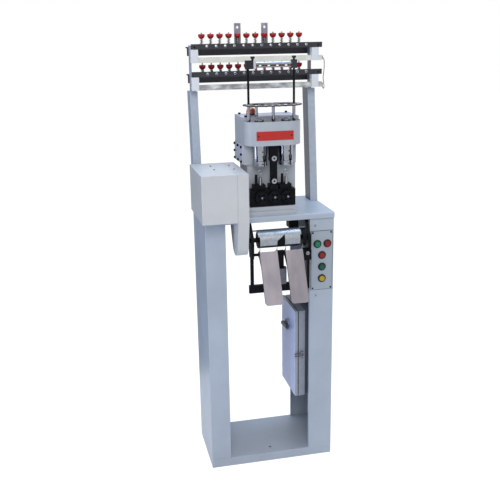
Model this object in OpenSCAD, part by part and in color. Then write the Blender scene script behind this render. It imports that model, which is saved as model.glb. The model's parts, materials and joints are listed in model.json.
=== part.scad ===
// Twin-head cord braiding machine on a free-standing stand.
// Millimetres, +Z up, front towards -Y, origin under the middle of the base.

/* [Stand] */
// Overall width of the stand
frame_w = 460; // [440:2:500]
// Depth of the base and the columns
frame_d = 262; // [250:2:290]
// Height of the base tray
base_h = 34; // [26:1:44]
// Width of the left column
left_col_w = 71; // [60:1:80]
// Width of the right column
right_col_w = 88; // [84:1:96]
// Height of the table above the floor
table_z = 953; // [930:1:1000]
// Thickness of the table
table_t = 20; // [16:1:26]
// Sheet thickness of the stand
sheet_t = 2; // [1.5:0.25:3]

/* [Creel] */
// Height of the lower guide bar above the table
lower_tier = 461; // [440:1:480]
// Distance between the two tiers
tier_gap = 93; // [88:1:110]
// Thread places on each tier
thread_n = 12; // [8:1:12]
// Distance between thread places
thread_pitch = 32.3; // [30:0.1:33]
// Width of a creel post
post_w = 28; // [22:1:34]
// Depth of a creel post
post_d = 65; // [56:1:76]
// Backward lean of the posts, share of their height
lean_share = 0.113; // [0.09:0.001:0.125]
// Diameter of a tension knob
knob_d = 21; // [18:0.5:24]
// Diameter of a guide eyelet
eyelet_d = 12; // [9:0.5:13]

/* [Head] */
// Width of the head
head_w = 198; // [190:1:204]
// Depth of the head
head_d = 191; // [180:1:204]
// Height of the upper housing of the head
band_h = 80; // [70:1:90]
// Corner radius of the upper housing
band_r = 50; // [40:1:54]
// Distance between the two knitting cylinders
cylinder_gap = 92; // [88:1:94]
// Diameter of a knitting cylinder
cylinder_d = 41; // [36:0.5:43]
// Length of the thread guide plate
guide_l = 203; // [195:1:215]
// Depth of the thread guide plate
guide_d = 118; // [108:1:124]

/* [Drive] */
// Width of the motor box
box_w = 120.5; // [112:0.5:126]
// Depth of the motor box
box_d = 252; // [240:1:264]
// Height of the motor box
box_h = 163; // [150:1:176]
// Width of the belt guard
guard_w = 38; // [34:0.5:42]
// Diameter of the lower belt pulley
low_pulley_d = 76; // [66:1:80]
// Diameter of the upper belt pulley
up_pulley_d = 60; // [50:1:72]

/* [Take-down] */
// Drop of the drum axis under the table's upper face
drum_drop = 81; // [78:1:88]
// Outside radius of the drum hood
hood_r = 35; // [32:0.5:38]
// Length of the drum hood
hood_l = 152; // [146:1:158]
// Width of a chute
chute_w = 62; // [54:1:64]
// Length of a chute
chute_l = 186; // [160:1:196]
// Forward lean of a chute
chute_deg = 26; // [20:1:32]

/* [Controls] */
// Width of the control panel
panel_w = 78; // [72:1:80]
// Height of the control panel
panel_h = 216; // [208:1:224]
// Diameter of a button bezel
bezel_d = 29; // [26:0.5:30]
// Travel of a button
button_travel = 3; // [2:0.25:4]
// Height of the electrical cabinet
cabinet_h = 340; // [300:2:360]
// Depth of the electrical cabinet from front to rear
cabinet_d = 184; // [170:2:214]

/* [Hidden] */
$fn = 48;

// Shared small lengths
over = 1;
seam = 0.1;
run_gap = 0.05;
free_gap = 0.4;

// Stand
x_l = -frame_w / 2;
x_r = frame_w / 2;
y_f = -frame_d / 2;
y_b = frame_d / 2;
table_lip_f = 7;
table_lip_b = 25;
table_y0 = y_f - table_lip_f;
table_y1 = y_b + table_lip_b;
table_under = table_z - table_t;
table_skin = 4;
table_edge_r = 6;
col_lip = 13;
left_col_x1 = x_l + left_col_w;
right_col_x0 = x_r - right_col_w;
floor_bolt_d = 8;
floor_bolt_in = 40;

// Drive
box_side = 18.5;
box_front = 65.5;
box_t = 2;
box_x0 = x_l - box_side;
box_x1 = box_x0 + box_w;
box_y0 = table_y0 - box_front;
box_y1 = box_y0 + box_d;
box_z1 = table_z + box_h;
guard_x0 = box_x1;
guard_x1 = guard_x0 + guard_w;
guard_room = 10;
guard_low_r = low_pulley_d / 2 + guard_room;
up_axis_back = 83;
up_axis_rise = 92;
up_axis_y = table_y0 + up_axis_back;
up_axis_z = table_z + up_axis_rise;
guard_heel = 10;
guard_back = up_axis_y + guard_heel;
drum_y = table_y0;
drum_z = table_z - drum_drop;
belt_w = 12;
belt_t = 3;
belt_x = guard_x0 + guard_w / 2;
flange_t = 3;
flange_out = 4;
shaft_d = 16;
shaft_hole_d = 22;
slot_gap = 3;

// Head
head_gap = 10;
head_x0 = guard_x1 + head_gap;
head_x1 = head_x0 + head_w;
heads_share = 0.4953;
heads_x = head_x0 + head_w * heads_share;
head_set = 5.5;
head_y0 = table_y0 + head_set;
head_y1 = head_y0 + head_d;
head_base_h = 30;
column_h = 142;
neck_h = 69;
column_z = table_z + head_base_h;
neck_z = column_z + column_h;
band_z = neck_z + neck_h;
band_z1 = band_z + band_h;
cover_t = 11;
cover_z1 = band_z1 + cover_t;
neck_back = 52;
neck_y = head_y0 + neck_back;
cyl_back = 33;
cyl_y = head_y0 + cyl_back;
recess_d = 13;
recess_back = 62;
rim_t = 5;
recess_y1 = head_y0 + recess_back;
recess_z = band_z1 - recess_d;
sleeve_wall = 3;
sleeve_d = cylinder_d + free_gap * 2 + sleeve_wall * 2;

// Guide frame on the head
rod_back = 52;
rod_in_l = 20;
rod_in_r = 20;
rod_y0 = head_y0 + rod_back;
rod_x0 = head_x0 + rod_in_l;
rod_x1 = head_x1 - rod_in_r;
rod_d = 8;
post_tube_d = 11;
guide_t = 3;
guide_rise = 51;
guide_fore = 6;
guide_right = 2;
guide_z = band_z1 + guide_rise;
guide_y = rod_y0 - guide_fore;
guide_x = (rod_x0 + rod_x1) / 2 + guide_right;
rod_rise = 145;
rod_top = guide_z + rod_rise;
clamp_h = 26;
clamp_z = rod_top - clamp_h;

// Creel
low_bar_z = table_z + lower_tier;
up_bar_z = low_bar_z + tier_gap;
tiers = [low_bar_z, up_bar_z];
bar_h = 18;
bar_d = 14;
bar_y = 61;
bar_in = 5;
bar_out = 12;
eye_shift = 6;
bar_x0 = x_l + bar_in;
bar_x1 = x_r + bar_out;
block_w = 26;
block_h = 45;
block_d = 24;
tube_w = 18;
tube_t = 2;
tube_drop = 36;
tube_back = 3;
tube_out = 15;
plate_t = 5;
plate_in = 2;
plate_y1 = 115;
plate_y0 = bar_y + block_d;
post_gap = 6;
post_z1 = low_bar_z - block_h - post_gap;
post_y = 60;
angle_h = 30;
angle_w = 36;
angle_t = 4;
angle_drop = 10;
angle_out_l = 3;
angle_in_r = 5;
pin_y = 133;
pin_d = 5;
knob_h = 15;
spring_d = 11;
spring_hs = [16, 26];
thread_run = thread_pitch * (thread_n - 1);
first_eye = eye_shift - thread_run / 2;
first_pin = -thread_run / 2;

// Take-down
hood_in = 38;
hood_x0 = guard_x1 + hood_in;
hood_x1 = hood_x0 + hood_l;
hood_t = 2;
drum_gap = 6;
drum_r = hood_r - drum_gap;
arm_t = 10;
arm_in_l = 14;
arm_in_r = 16;
arm_x0 = guard_x1 + arm_in_l;
arm_x1 = right_col_x0 - arm_in_r;
cross_drop = 175;
cross_z = drum_z - cross_drop;
chute_gap = 29;
chute_right = 4;
chute_mid = (hood_x0 + hood_x1) / 2 + chute_right;

// Controls
panel_t = 2;
panel_drop = 67;
panel_x = right_col_x0 + right_col_w / 2;
panel_z1 = table_z - panel_drop;
button_d = 20;
barrel_d = 22;
barrel_l = 24;
barrel_floor = 3;
bezel_h = 4;
cap_out = 2.5;
button_x_shares = [-0.218, 0.256, 0.006, 0.006, 0.006];
button_z_shares = [-0.213, -0.215, -0.407, -0.606, -0.808];
button_x = button_x_shares * panel_w;
button_z = button_z_shares * panel_h;
door_t = 11;
door_out = 45;
door_gap = 3;
case_w = 24;
case_step = 14;
cab_y0 = -100;
cab_y1 = cab_y0 + cabinet_d;
cab_z0 = 240;
cab_z1 = cab_z0 + cabinet_h;
cab_t = 1.5;
door_x0 = right_col_x0 - door_out;
cab_x0 = door_x0 + door_t + door_gap;
cab_x1 = x_r - sheet_t;
handle_y_share = 0.527;
handle_z_share = 0.745;
handle_y = cab_y0 + cabinet_d * handle_y_share;
handle_z = cab_z0 + cabinet_h * handle_z_share;
latch_z = cab_z0 + cabinet_h / 2;

// Placing helpers
module box(x0, x1, y0, y1, z0, z1) {
    translate([x0, y0, z0])
        cube([x1 - x0, y1 - y0, z1 - z0]);
}

module yz(x0, w) {
    translate([x0, 0, 0])
        rotate([90, 0, 90])
            linear_extrude(w)
                children();
}

module xz(y0, d) {
    translate([0, y0 + d, 0])
        rotate([90, 0, 0])
            linear_extrude(d)
                children();
}

module rod_x(x0, x1, y, z, d) {
    translate([x0, y, z])
        rotate([0, 90, 0])
            cylinder(h = x1 - x0, d = d);
}

module rod_y(x, y0, y1, z, d) {
    translate([x, y1, z])
        rotate([90, 0, 0])
            cylinder(h = y1 - y0, d = d);
}

module rod_z(x, y, z0, z1, d) {
    translate([x, y, z0])
        cylinder(h = z1 - z0, d = d);
}

module ring_z(x, y, z0, z1, d, bore) {
    difference() {
        rod_z(x, y, z0, z1, d);
        rod_z(x, y, z0 - over, z1 + over, bore);
    }
}

// Stand
module base_tray() {
    color([0.66, 0.70, 0.77])
    difference() {
        box(x_l, x_r, y_f, y_b, 0, base_h);
        box(x_l + sheet_t, x_r - sheet_t, y_f + sheet_t, y_b + over, sheet_t, base_h - sheet_t);
        rod_z(0, y_f + floor_bolt_in, base_h - sheet_t - over, base_h + over, floor_bolt_d);
    }
}

module left_column() {
    color([0.66, 0.70, 0.77])
    difference() {
        box(x_l, left_col_x1, y_f, y_b, base_h, table_under);
        box(x_l + sheet_t, left_col_x1 - sheet_t, y_f + sheet_t, y_b - sheet_t,
            base_h - over, table_under + over);
    }
}

module right_column() {
    color([0.66, 0.70, 0.77])
    difference() {
        box(right_col_x0, x_r, y_f, y_b, base_h, table_under);
        box(right_col_x0 + sheet_t, x_r - sheet_t, y_f + sheet_t, y_b - sheet_t,
            base_h - over, table_under + over);
        box(right_col_x0 - over, right_col_x0 + sheet_t + over, y_f + col_lip, y_b - col_lip,
            base_h - over, table_under + over);
        for (i = [0:4])
            rod_y(panel_x + button_x[i], y_f - over, y_f + sheet_t + over,
                panel_z1 + button_z[i], barrel_d + free_gap * 2);
    }
}

module table_top() {
    color([0.68, 0.72, 0.80])
    difference() {
        union() {
            box(x_l, x_r, table_y0 + table_edge_r, table_y1, table_under, table_z);
            box(x_l, x_r, table_y0, table_y1, table_under, table_z - table_edge_r);
            rod_x(x_l, x_r, table_y0 + table_edge_r, table_z - table_edge_r, table_edge_r * 2);
        }
        box(guard_x0 - slot_gap, guard_x1 + slot_gap, table_y0 - over,
            guard_back + slot_gap, table_under - over, table_z + over);
        box(x_l + sheet_t, guard_x0 - slot_gap - sheet_t, table_y0 + table_edge_r * 2,
            table_y1 - table_edge_r, table_under - over, table_z - table_skin);
        box(guard_x1 + slot_gap + sheet_t, x_r - sheet_t, table_y0 + table_edge_r * 2,
            table_y1 - table_edge_r, table_under - over, table_z - table_skin);
    }
}

// Creel
function lean(z) = post_y + (z - table_z) * lean_share;

module creel_post(x0) {
    difference() {
        yz(x0, post_w)
            polygon([[lean(table_z), table_z], [lean(table_z) + post_d, table_z],
                [lean(post_z1) + post_d, post_z1], [lean(post_z1), post_z1]]);
        yz(x0 + sheet_t, post_w - sheet_t * 2)
            polygon([[lean(table_z - over) + sheet_t, table_z - over],
                [lean(table_z - over) + post_d - sheet_t, table_z - over],
                [lean(post_z1 - sheet_t) + post_d - sheet_t, post_z1 - sheet_t],
                [lean(post_z1 - sheet_t) + sheet_t, post_z1 - sheet_t]]);
    }
}

module creel_posts() {
    color([0.66, 0.70, 0.77]) {
        creel_post(x_l);
        creel_post(x_r - post_w);
    }
}

module side_plates() {
    color([0.72, 0.75, 0.80])
    for (x0 = [x_l + plate_in, x_r - post_w + plate_in])
        box(x0, x0 + plate_t, plate_y0, plate_y1, post_z1, up_bar_z + bar_h - angle_t);
}

module end_blocks() {
    color([0.78, 0.79, 0.81])
    for (x0 = [x_l + plate_in, x_r - post_w + plate_in])
        for (z1 = tiers)
            difference() {
                box(x0, x0 + block_w, bar_y, bar_y + block_d, z1 - block_h, z1);
                box(x0 - over, x0 + block_w + over, bar_y + tube_back - seam, bar_y + tube_back + tube_w + seam,
                    z1 - tube_drop - tube_w / 2 - seam, z1 - tube_drop + tube_w / 2 + seam);
            }
}

eye_z_share = 0.6;
eye_neck_share = 0.38;
eye_bore_share = 0.27;
eye_lip_share = 0.42;
eye_rim = 1.5;
eye_crown = 2.5;

module at_eyes() {
    for (z0 = tiers)
        for (i = [0:thread_n - 1])
            translate([first_eye + i * thread_pitch, bar_y, z0 + bar_h * eye_z_share])
                children();
}

module guide_bars() {
    color([0.12, 0.12, 0.14])
    difference() {
        for (z0 = tiers)
            box(bar_x0, bar_x1, bar_y, bar_y + bar_d, z0, z0 + bar_h);
        at_eyes()
            rod_y(0, -over, bar_d + over, 0, (eyelet_d * eye_neck_share + seam) * 2);
    }
}

module guide_eyelets() {
    color([0.93, 0.93, 0.91])
    at_eyes()
        rotate([90, 0, 0])
            rotate_extrude()
                polygon([[eyelet_d * eye_bore_share, -bar_d], [eyelet_d * eye_neck_share, -bar_d],
                    [eyelet_d * eye_neck_share, 0], [eyelet_d / 2, 0], [eyelet_d / 2, eye_rim],
                    [eyelet_d * eye_lip_share, eye_crown], [eyelet_d * eye_bore_share, eye_rim]]);
}

hanger_w = 23;
hanger_x = [-45, 54];
hanger_t = 5;
hanger_lap = 3;
hanger_h = 78;
hanger_hole_d = 9;
hanger_hole_drop = 14;

module tension_bars() {
    y0 = plate_y1 + angle_w - hanger_lap;
    top = up_bar_z + bar_h - angle_drop;
    color([0.12, 0.12, 0.14]) {
        for (x = hanger_x)
            difference() {
                box(x - hanger_w / 2, x + hanger_w / 2, y0, y0 + hanger_t, top - angle_t, top + hanger_h);
                rod_y(x, y0 - over, y0 + hanger_t + over, top + hanger_h - hanger_hole_drop, hanger_hole_d);
            }
        difference() {
            for (z0 = tiers) {
                z1 = z0 + bar_h - angle_drop;
                box(x_l - angle_out_l, x_r - angle_in_r, plate_y1, plate_y1 + angle_t, z1 - angle_h, z1);
                box(x_l - angle_out_l, x_r - angle_in_r, plate_y1, plate_y1 + angle_w, z1 - angle_t, z1);
            }
            at_pins(0)
                rod_z(0, 0, -angle_t - over, over, pin_d + seam * 2);
            at_pins(1)
                rod_z(0, 0, -angle_t - over, over, pin_d + seam * 2);
        }
    }
}

// Thread places of one tier, on the shelf of its tension bar
module at_pins(tier) {
    for (i = [0:thread_n - 1])
        translate([first_pin + i * thread_pitch, pin_y, tiers[tier] + bar_h - angle_drop])
            children();
}

washer_t = 2;
washer_d = 14;
nut_h = 4;
nut_d = 9;
pin_tip = 6;

module tension_pins() {
    color([0.70, 0.71, 0.74])
    for (tier = [0, 1])
        at_pins(tier) {
            translate([0, 0, -angle_t - nut_h])
                cylinder(h = angle_t + nut_h + spring_hs[tier] + knob_h + pin_tip, d = pin_d);
            cylinder(h = washer_t, d = washer_d);
            translate([0, 0, -angle_t - nut_h])
                cylinder(h = nut_h, d = nut_d, $fn = 6);
        }
}

spring_turns = 4;
wire_share = 0.55;
spring_taper = 1.5;

module tension_springs() {
    color([0.75, 0.76, 0.78])
    for (tier = [0, 1])
        at_pins(tier) {
            h = spring_hs[tier] - washer_t;
            step = h / spring_turns;
            wire = step * wire_share;
            core = pin_d / 2 + wire / 2;
            translate([0, 0, washer_t])
                rotate_extrude()
                    polygon(concat([[pin_d / 2 + run_gap, 0]],
                        [for (i = [0:spring_turns - 1])
                            let (r = spring_d / 2 - spring_taper * i / spring_turns)
                            let (z = i * step)
                            each [[core, z], [r, z], [r, z + wire], [core, z + wire]]],
                        [[core, h], [pin_d / 2 + run_gap, h]]));
        }
}

// Half-section of a knob: shares of its diameter and of its height
knob_r_shares = [0.26, 0.38, 0.46, 0.5, 0.5, 0.46];
knob_z_shares = [0, 0.18, 0.5, 0.62, 0.9, 1];

module tension_knobs() {
    color([0.70, 0.10, 0.13])
    for (tier = [0, 1])
        at_pins(tier)
            translate([0, 0, spring_hs[tier]])
                rotate_extrude()
                    polygon(concat([[pin_d / 2 + run_gap, 0]],
                        [for (i = [0:len(knob_r_shares) - 1])
                            [knob_d * knob_r_shares[i], knob_h * knob_z_shares[i]]],
                        [[pin_d / 2 + run_gap, knob_h]]));
}

module stop_tubes() {
    y0 = bar_y + tube_back;
    color([0.72, 0.72, 0.70])
    for (z1 = tiers) {
        z0 = z1 - tube_drop - tube_w / 2;
        difference() {
            box(x_l + plate_in, x_r + tube_out, y0, y0 + tube_w, z0, z0 + tube_w);
            box(x_l + plate_in - over, x_r + tube_out - tube_t, y0 + tube_t, y0 + tube_w - tube_t,
                z0 + tube_t, z0 + tube_w - tube_t);
        }
    }
}

// Thin lead between the right ends of the two tubes, by hand-chosen route points
wire_d = 2.5;
wire_sides = 8;
wire_x = x_r + tube_out;
wire_y = bar_y + tube_back + tube_w / 2;
up_tube_z = up_bar_z - tube_drop;
wire_drop = 93;
wire_out = [0, 4, 8, 9, 8, 6, 5, 7, 9, 8, 5, 3, 2, 0];
wire_fore = [0, 0, 1, 2, 3, 3, 3, 3, 2, 1, 0, 0, 0, 0];
wire_down = [0, 1, 8, 22, 42, 60, 71, 87, 101, 108, 106, 98, 93, 93];
wire_path = [for (i = [0:len(wire_out) - 1])
    [wire_x + wire_out[i], wire_y - wire_fore[i], up_tube_z - wire_down[i] * tier_gap / wire_drop]];

function unit(v) = v / norm(v);

module tube_along(path, d, sides) {
    n = len(path);
    slant = [0.13, 1, 0.07];
    along = [for (i = [0:n - 1]) unit(path[min(i + 1, n - 1)] - path[max(i - 1, 0)])];
    side = [for (i = [0:n - 1]) unit(cross(along[i], slant))];
    up = [for (i = [0:n - 1]) cross(side[i], along[i])];
    rings = [for (i = [0:n - 1]) for (k = [0:sides - 1])
        path[i] + d / 2 * (cos(360 * k / sides) * side[i] + sin(360 * k / sides) * up[i])];
    walls = [for (i = [0:n - 2]) for (k = [0:sides - 1])
        [i * sides + k, i * sides + (k + 1) % sides,
            (i + 1) * sides + (k + 1) % sides, (i + 1) * sides + k]];
    ends = [[for (k = [sides - 1:-1:0]) k], [for (k = [0:sides - 1]) (n - 1) * sides + k]];
    polyhedron(rings, concat(walls, ends), convexity = 6);
}

module stop_wire() {
    color([0.20, 0.20, 0.21])
        tube_along(wire_path, wire_d, wire_sides);
}

// Guide frame on the head
mid_post_right = 6;
rear_post_left = 42;
rear_post_back = 30;

module guide_posts() {
    color([0.75, 0.76, 0.78]) {
        for (x = [rod_x0, rod_x1])
            ring_z(x, rod_y0, recess_z, guide_z, post_tube_d, rod_d);
        rod_z(heads_x + mid_post_right, guide_y, recess_z, guide_z, post_tube_d);
        rod_z(heads_x - rear_post_left, recess_y1 + rear_post_back, cover_z1, guide_z, post_tube_d);
    }
}

module guide_rods() {
    color([0.10, 0.10, 0.11])
    for (x = [rod_x0, rod_x1])
        rod_z(x, rod_y0, recess_z, rod_top, rod_d - seam * 2);
}

plate_eye_d = 8;
plate_eye_in = 13;
plate_row_shares = [-0.8, -0.267, 0.267, 0.8];
plate_eye_angles = [-60, -20, 20, 60];

module at_guide_holes() {
    r = guide_d / 2 - plate_eye_in;
    run = (guide_l - guide_d) / 2;
    for (s = [-1, 1]) {
        for (share = plate_row_shares)
            translate([guide_x + run * share, guide_y + s * r])
                children();
        for (a = plate_eye_angles)
            translate([guide_x + s * (run + r * cos(a)), guide_y + r * sin(a)])
                children();
    }
}

module guide_plate() {
    color([0.55, 0.53, 0.60])
    translate([0, 0, guide_z])
    linear_extrude(guide_t)
    difference() {
        union() {
            for (s = [-1, 1])
                translate([guide_x + s * (guide_l - guide_d) / 2, guide_y])
                    circle(d = guide_d);
            translate([guide_x - (guide_l - guide_d) / 2, guide_y - guide_d / 2])
                square([guide_l - guide_d, guide_d]);
        }
        at_guide_holes()
            circle(d = plate_eye_d + seam * 2);
        for (x = [rod_x0, rod_x1])
            translate([x, rod_y0])
                circle(d = rod_d);
        for (s = [-1, 1])
            translate([heads_x + s * cylinder_gap / 2, guide_y])
                circle(d = cylinder_d);
    }
}

// Clamps on top of the rods: each one's cross holes open towards the other
clamp_w = 18;
clamp_cap = 2;
clamp_wall = 5;
clamp_reach = 16;
cross_d = 10;
cross_drop_z = 9;
thin_cross_d = 5;
thin_drop_z = 20;
thumb_d = 5;

module rod_clamp(x, reach, s) {
    w = clamp_w / 2;
    x0 = s < 0 ? reach + clamp_wall + seam : -w - over;
    x1 = s < 0 ? reach + w + over : -clamp_wall - seam;
    translate([x, rod_y0, 0])
        difference() {
            box(-w, reach + w, -w, w, clamp_z, rod_top + clamp_cap);
            rod_z(0, 0, clamp_z - over, rod_top, rod_d);
            rod_z(reach, 0, rod_top - over, rod_top + clamp_cap + over, thumb_d + seam * 2);
            rod_x(x0, x1, 0, rod_top - cross_drop_z, cross_d);
            rod_x(x0, x1, 0, rod_top - thin_drop_z, thin_cross_d);
        }
}

module rod_clamps() {
    color([0.16, 0.16, 0.18]) {
        rod_clamp(rod_x0, clamp_reach, -1);
        rod_clamp(rod_x1, 0, 1);
    }
}

thumb_neck_d = 8;
thumb_neck_h = 5;
thumb_head_d = 14;
thumb_head_h = 7;
flute_d = 4;
flute_r = 8;

module thumb_screw(x) {
    foot = clamp_cap + free_gap;
    color([0.09, 0.09, 0.10])
    translate([x, rod_y0, rod_top]) {
        cylinder(h = foot + thumb_neck_h, d = thumb_d);
        translate([0, 0, foot])
            cylinder(h = thumb_neck_h, d = thumb_neck_d);
        translate([0, 0, foot + thumb_neck_h])
            difference() {
                cylinder(h = thumb_head_h, d = thumb_head_d);
                for (a = [0:45:315])
                    rotate(a)
                        rod_z(flute_r, 0, -over, thumb_head_h + over, flute_d);
            }
    }
}

module left_thumb_screw() {
    thumb_screw(rod_x0 + clamp_reach);
}

module right_thumb_screw() {
    thumb_screw(rod_x1);
}

module cross_rods() {
    x0 = rod_x0 + clamp_reach + clamp_wall + seam * 2;
    x1 = rod_x1 - clamp_wall - seam * 2;
    color([0.80, 0.81, 0.83]) {
        rod_x(x0, x1, rod_y0, rod_top - cross_drop_z, cross_d - seam * 2);
        rod_x(x0, x1, rod_y0, rod_top - thin_drop_z, thin_cross_d - seam * 2);
    }
}

lamp_in = 45;
lamp_back = 66;
lamp_x = head_x0 + lamp_in;
lamp_y = recess_y1 + lamp_back;
lamp_base_d = 32;
lamp_base_h = 7;
lamp_r = 15;
lamp_skirt = 8;
lamp_h = 21;

module lamp_base() {
    color([0.08, 0.08, 0.09])
        rod_z(lamp_x, lamp_y, cover_z1, cover_z1 + lamp_base_h, lamp_base_d);
}

module lamp_dome() {
    crown = lamp_h - lamp_skirt;
    color([0.85, 0.45, 0.15])
    translate([lamp_x, lamp_y, cover_z1 + lamp_base_h])
        rotate_extrude()
            polygon(concat([[0, 0], [lamp_r, 0]],
                [for (a = [0:10:90]) [lamp_r * cos(a), lamp_skirt + crown * sin(a)]]));
}

// Head
module plan(x0, x1, y0, y1, r) {
    translate([x0 + r, y0 + r])
        circle(r = r);
    translate([x1 - r, y0 + r])
        circle(r = r);
    translate([x0 + r, y0])
        square([x1 - x0 - r * 2, r]);
    translate([x0, y0 + r])
        square([x1 - x0, y1 - y0 - r]);
}

module at_cylinders() {
    for (s = [-1, 1])
        translate([heads_x + s * cylinder_gap / 2, cyl_y, 0])
            children();
}

foot_in_l = 6;
foot_in_r = 23;
foot_step = 5;
foot_front = 7;
foot_rear = 6;
waist_in_l = 14;
waist_in_r = 13;
neck_in_r = 13;
waist_in_f = 8;
waist_in_b = 10;
bore_l = 60;
bolt_d = 5;
bolt_l = 12;
bolt_room = 2;

module head_casting() {
    foot_z = table_z + head_base_h;
    color([0.64, 0.67, 0.71])
    difference() {
        union() {
            box(head_x0 + foot_in_l, head_x1 - foot_in_r, head_y0 + foot_front, head_y1 - foot_rear,
                table_z, foot_z - head_base_h / 2);
            box(head_x0 + foot_in_l, head_x1 - foot_in_r, head_y0 + foot_front + foot_step, head_y1 - foot_rear,
                table_z, foot_z);
            box(head_x0 + waist_in_l, head_x1 - waist_in_r, neck_y + waist_in_f, head_y1 - waist_in_b,
                table_z + over, neck_z + over);
            box(head_x0, head_x1 - neck_in_r, neck_y, head_y1, neck_z, band_z);
        }
        rod_x(head_x0 - over, head_x0 + bore_l, up_axis_y, up_axis_z, shaft_d);
        at_cylinders()
            rod_z(0, 0, neck_z - over, band_z + over, sleeve_d + seam * 2);
        at_side_screws()
            rod_x(0, bolt_l + bolt_room, 0, 0, bolt_d + seam * 2);
    }
}

name_w = 128;
name_h = 30;
name_t = 1.5;
name_z_share = 0.42;
name_z = band_z + band_h * name_z_share;
rivet_in = 7;
rivet_d = 3;
rivet_l = 6;
rivet_head_d = 5;
rivet_head_h = 1;

module at_rivets() {
    for (s = [-1, 1])
        translate([heads_x + s * (name_w / 2 - rivet_in), head_y0, name_z])
            children();
}

module head_housing() {
    color([0.66, 0.69, 0.73])
    difference() {
        translate([0, 0, band_z])
            linear_extrude(band_h)
                plan(head_x0, head_x1, head_y0, head_y1, band_r);
        translate([0, 0, recess_z])
            linear_extrude(recess_d + over)
                intersection() {
                    plan(head_x0 + rim_t, head_x1 - rim_t, head_y0 + rim_t, head_y1, band_r - rim_t);
                    translate([head_x0, head_y0])
                        square([head_w, recess_y1 - head_y0]);
                }
        at_cylinders()
            rod_z(0, 0, band_z - over, band_z1, cylinder_d + cyl_step * 2);
        at_cover_screws()
            rod_z(0, 0, -bolt_l - bolt_room, over, bolt_d + seam * 2);
        at_rivets()
            rod_y(0, -over, rivet_l, 0, rivet_d + seam * 2);
    }
}

cover_screw_in = 14;
cover_screw_front = 12;

module at_cover_screws() {
    for (x = [head_x0 + cover_screw_in, head_x1 - cover_screw_in])
        for (y = [recess_y1 + cover_screw_front, head_y1 - cover_screw_in])
            translate([x, y, band_z1])
                children();
}

module head_cover() {
    color([0.70, 0.73, 0.82])
    difference() {
        box(head_x0, head_x1, recess_y1, head_y1, band_z1, cover_z1);
        at_cover_screws()
            rod_z(0, 0, -over, cover_t + over, bolt_d + seam * 2);
    }
}

side_t = 4;
side_in_f = 4;
side_in_b = 8;
side_in_low = 3;
side_in_up = 2;
side_y0 = neck_y + side_in_f;
side_y1 = head_y1 - side_in_b;
side_z0 = neck_z + side_in_low;
side_z1 = band_z - side_in_up;
side_screw_y = 10;
side_screw_z = 7;

module at_side_screws() {
    step_y = (side_y1 - side_y0) / 2 - side_screw_y;
    step_z = (side_z1 - side_z0) / 2 - side_screw_z;
    for (i = [0:2])
        for (k = [0:2])
            if (i != 1 || k != 1)
                translate([head_x0, side_y0 + side_screw_y + step_y * i, side_z0 + side_screw_z + step_z * k])
                    children();
}

module side_cover() {
    color([0.68, 0.70, 0.78])
    difference() {
        box(head_x0 - side_t, head_x0, side_y0, side_y1, side_z0, side_z1);
        at_side_screws()
            rod_x(-side_t - over, over, 0, 0, bolt_d + seam * 2);
    }
}

module name_plate() {
    color([0.72, 0.10, 0.12])
    difference() {
        box(heads_x - name_w / 2, heads_x + name_w / 2, head_y0 - name_t, head_y0,
            name_z - name_h / 2, name_z + name_h / 2);
        at_rivets()
            rod_y(0, -name_t - over, over, 0, rivet_d + seam * 2);
    }
}

// Knitting cylinders: a needle drum in the neck, a collar on the recess floor, needles on top
cyl_step = 1;
cyl_foot_gap = 2;
cyl_bevel = 3;
collar_out = 3.5;
collar_t = 4;
collar_lift = 2;
groove_z = 12;
groove_h = 8;
groove_in = 1.5;
top_share = 0.75;
top_rise = 4;
needle_n = 12;
needle_d = 4;
needle_rise = 5;
needle_r_share = 0.6;
needle_slot = 2;
slot_from = 24;
slot_above = 6;
cyl_bore_d = 8;

module knit_cylinder(x) {
    r = cylinder_d / 2;
    wide = r + cyl_step - run_gap;
    foot = neck_z + cyl_foot_gap;
    collar_z = recess_z - foot + run_gap;
    top = band_z1 + top_rise - foot;
    color([0.82, 0.83, 0.85])
    translate([x, cyl_y, 0])
        difference() {
            union() {
                translate([0, 0, foot])
                    rotate_extrude()
                        polygon([[0, 0], [r - cyl_bevel, 0], [r, cyl_bevel], [r, groove_z],
                            [r - groove_in, groove_z], [r - groove_in, groove_z + groove_h],
                            [r, groove_z + groove_h], [r, neck_h + cyl_bevel], [wide, neck_h + cyl_bevel * 2],
                            [wide, collar_z - cyl_bevel], [r, collar_z - cyl_step], [r, collar_z],
                            [r + collar_out, collar_z], [r + collar_out, collar_z + collar_t],
                            [r * top_share, collar_z + collar_t + collar_lift],
                            [r * top_share, top], [0, top]]);
                for (i = [0:needle_n - 1])
                    rotate(i * 360 / needle_n)
                        rod_z(r * needle_r_share, 0, foot + top - over, foot + top + needle_rise, needle_d);
            }
            rod_z(0, 0, neck_z, foot + top + over, cyl_bore_d);
            for (i = [0:needle_n - 1])
                rotate((i + 1 / 2) * 360 / needle_n)
                    box(r - needle_slot, r + over, -needle_slot / 2, needle_slot / 2,
                        neck_z + slot_from, band_z - slot_above);
        }
}

module left_cylinder() {
    knit_cylinder(heads_x - cylinder_gap / 2);
}

module right_cylinder() {
    knit_cylinder(heads_x + cylinder_gap / 2);
}

// Fixed polished sleeves round the needle drums, each with a window to the front
window_w = 32;
window_h = 20;
window_z = 15;
sleeve_rim_h = 5;
sleeve_rim_out = 1.5;

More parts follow.
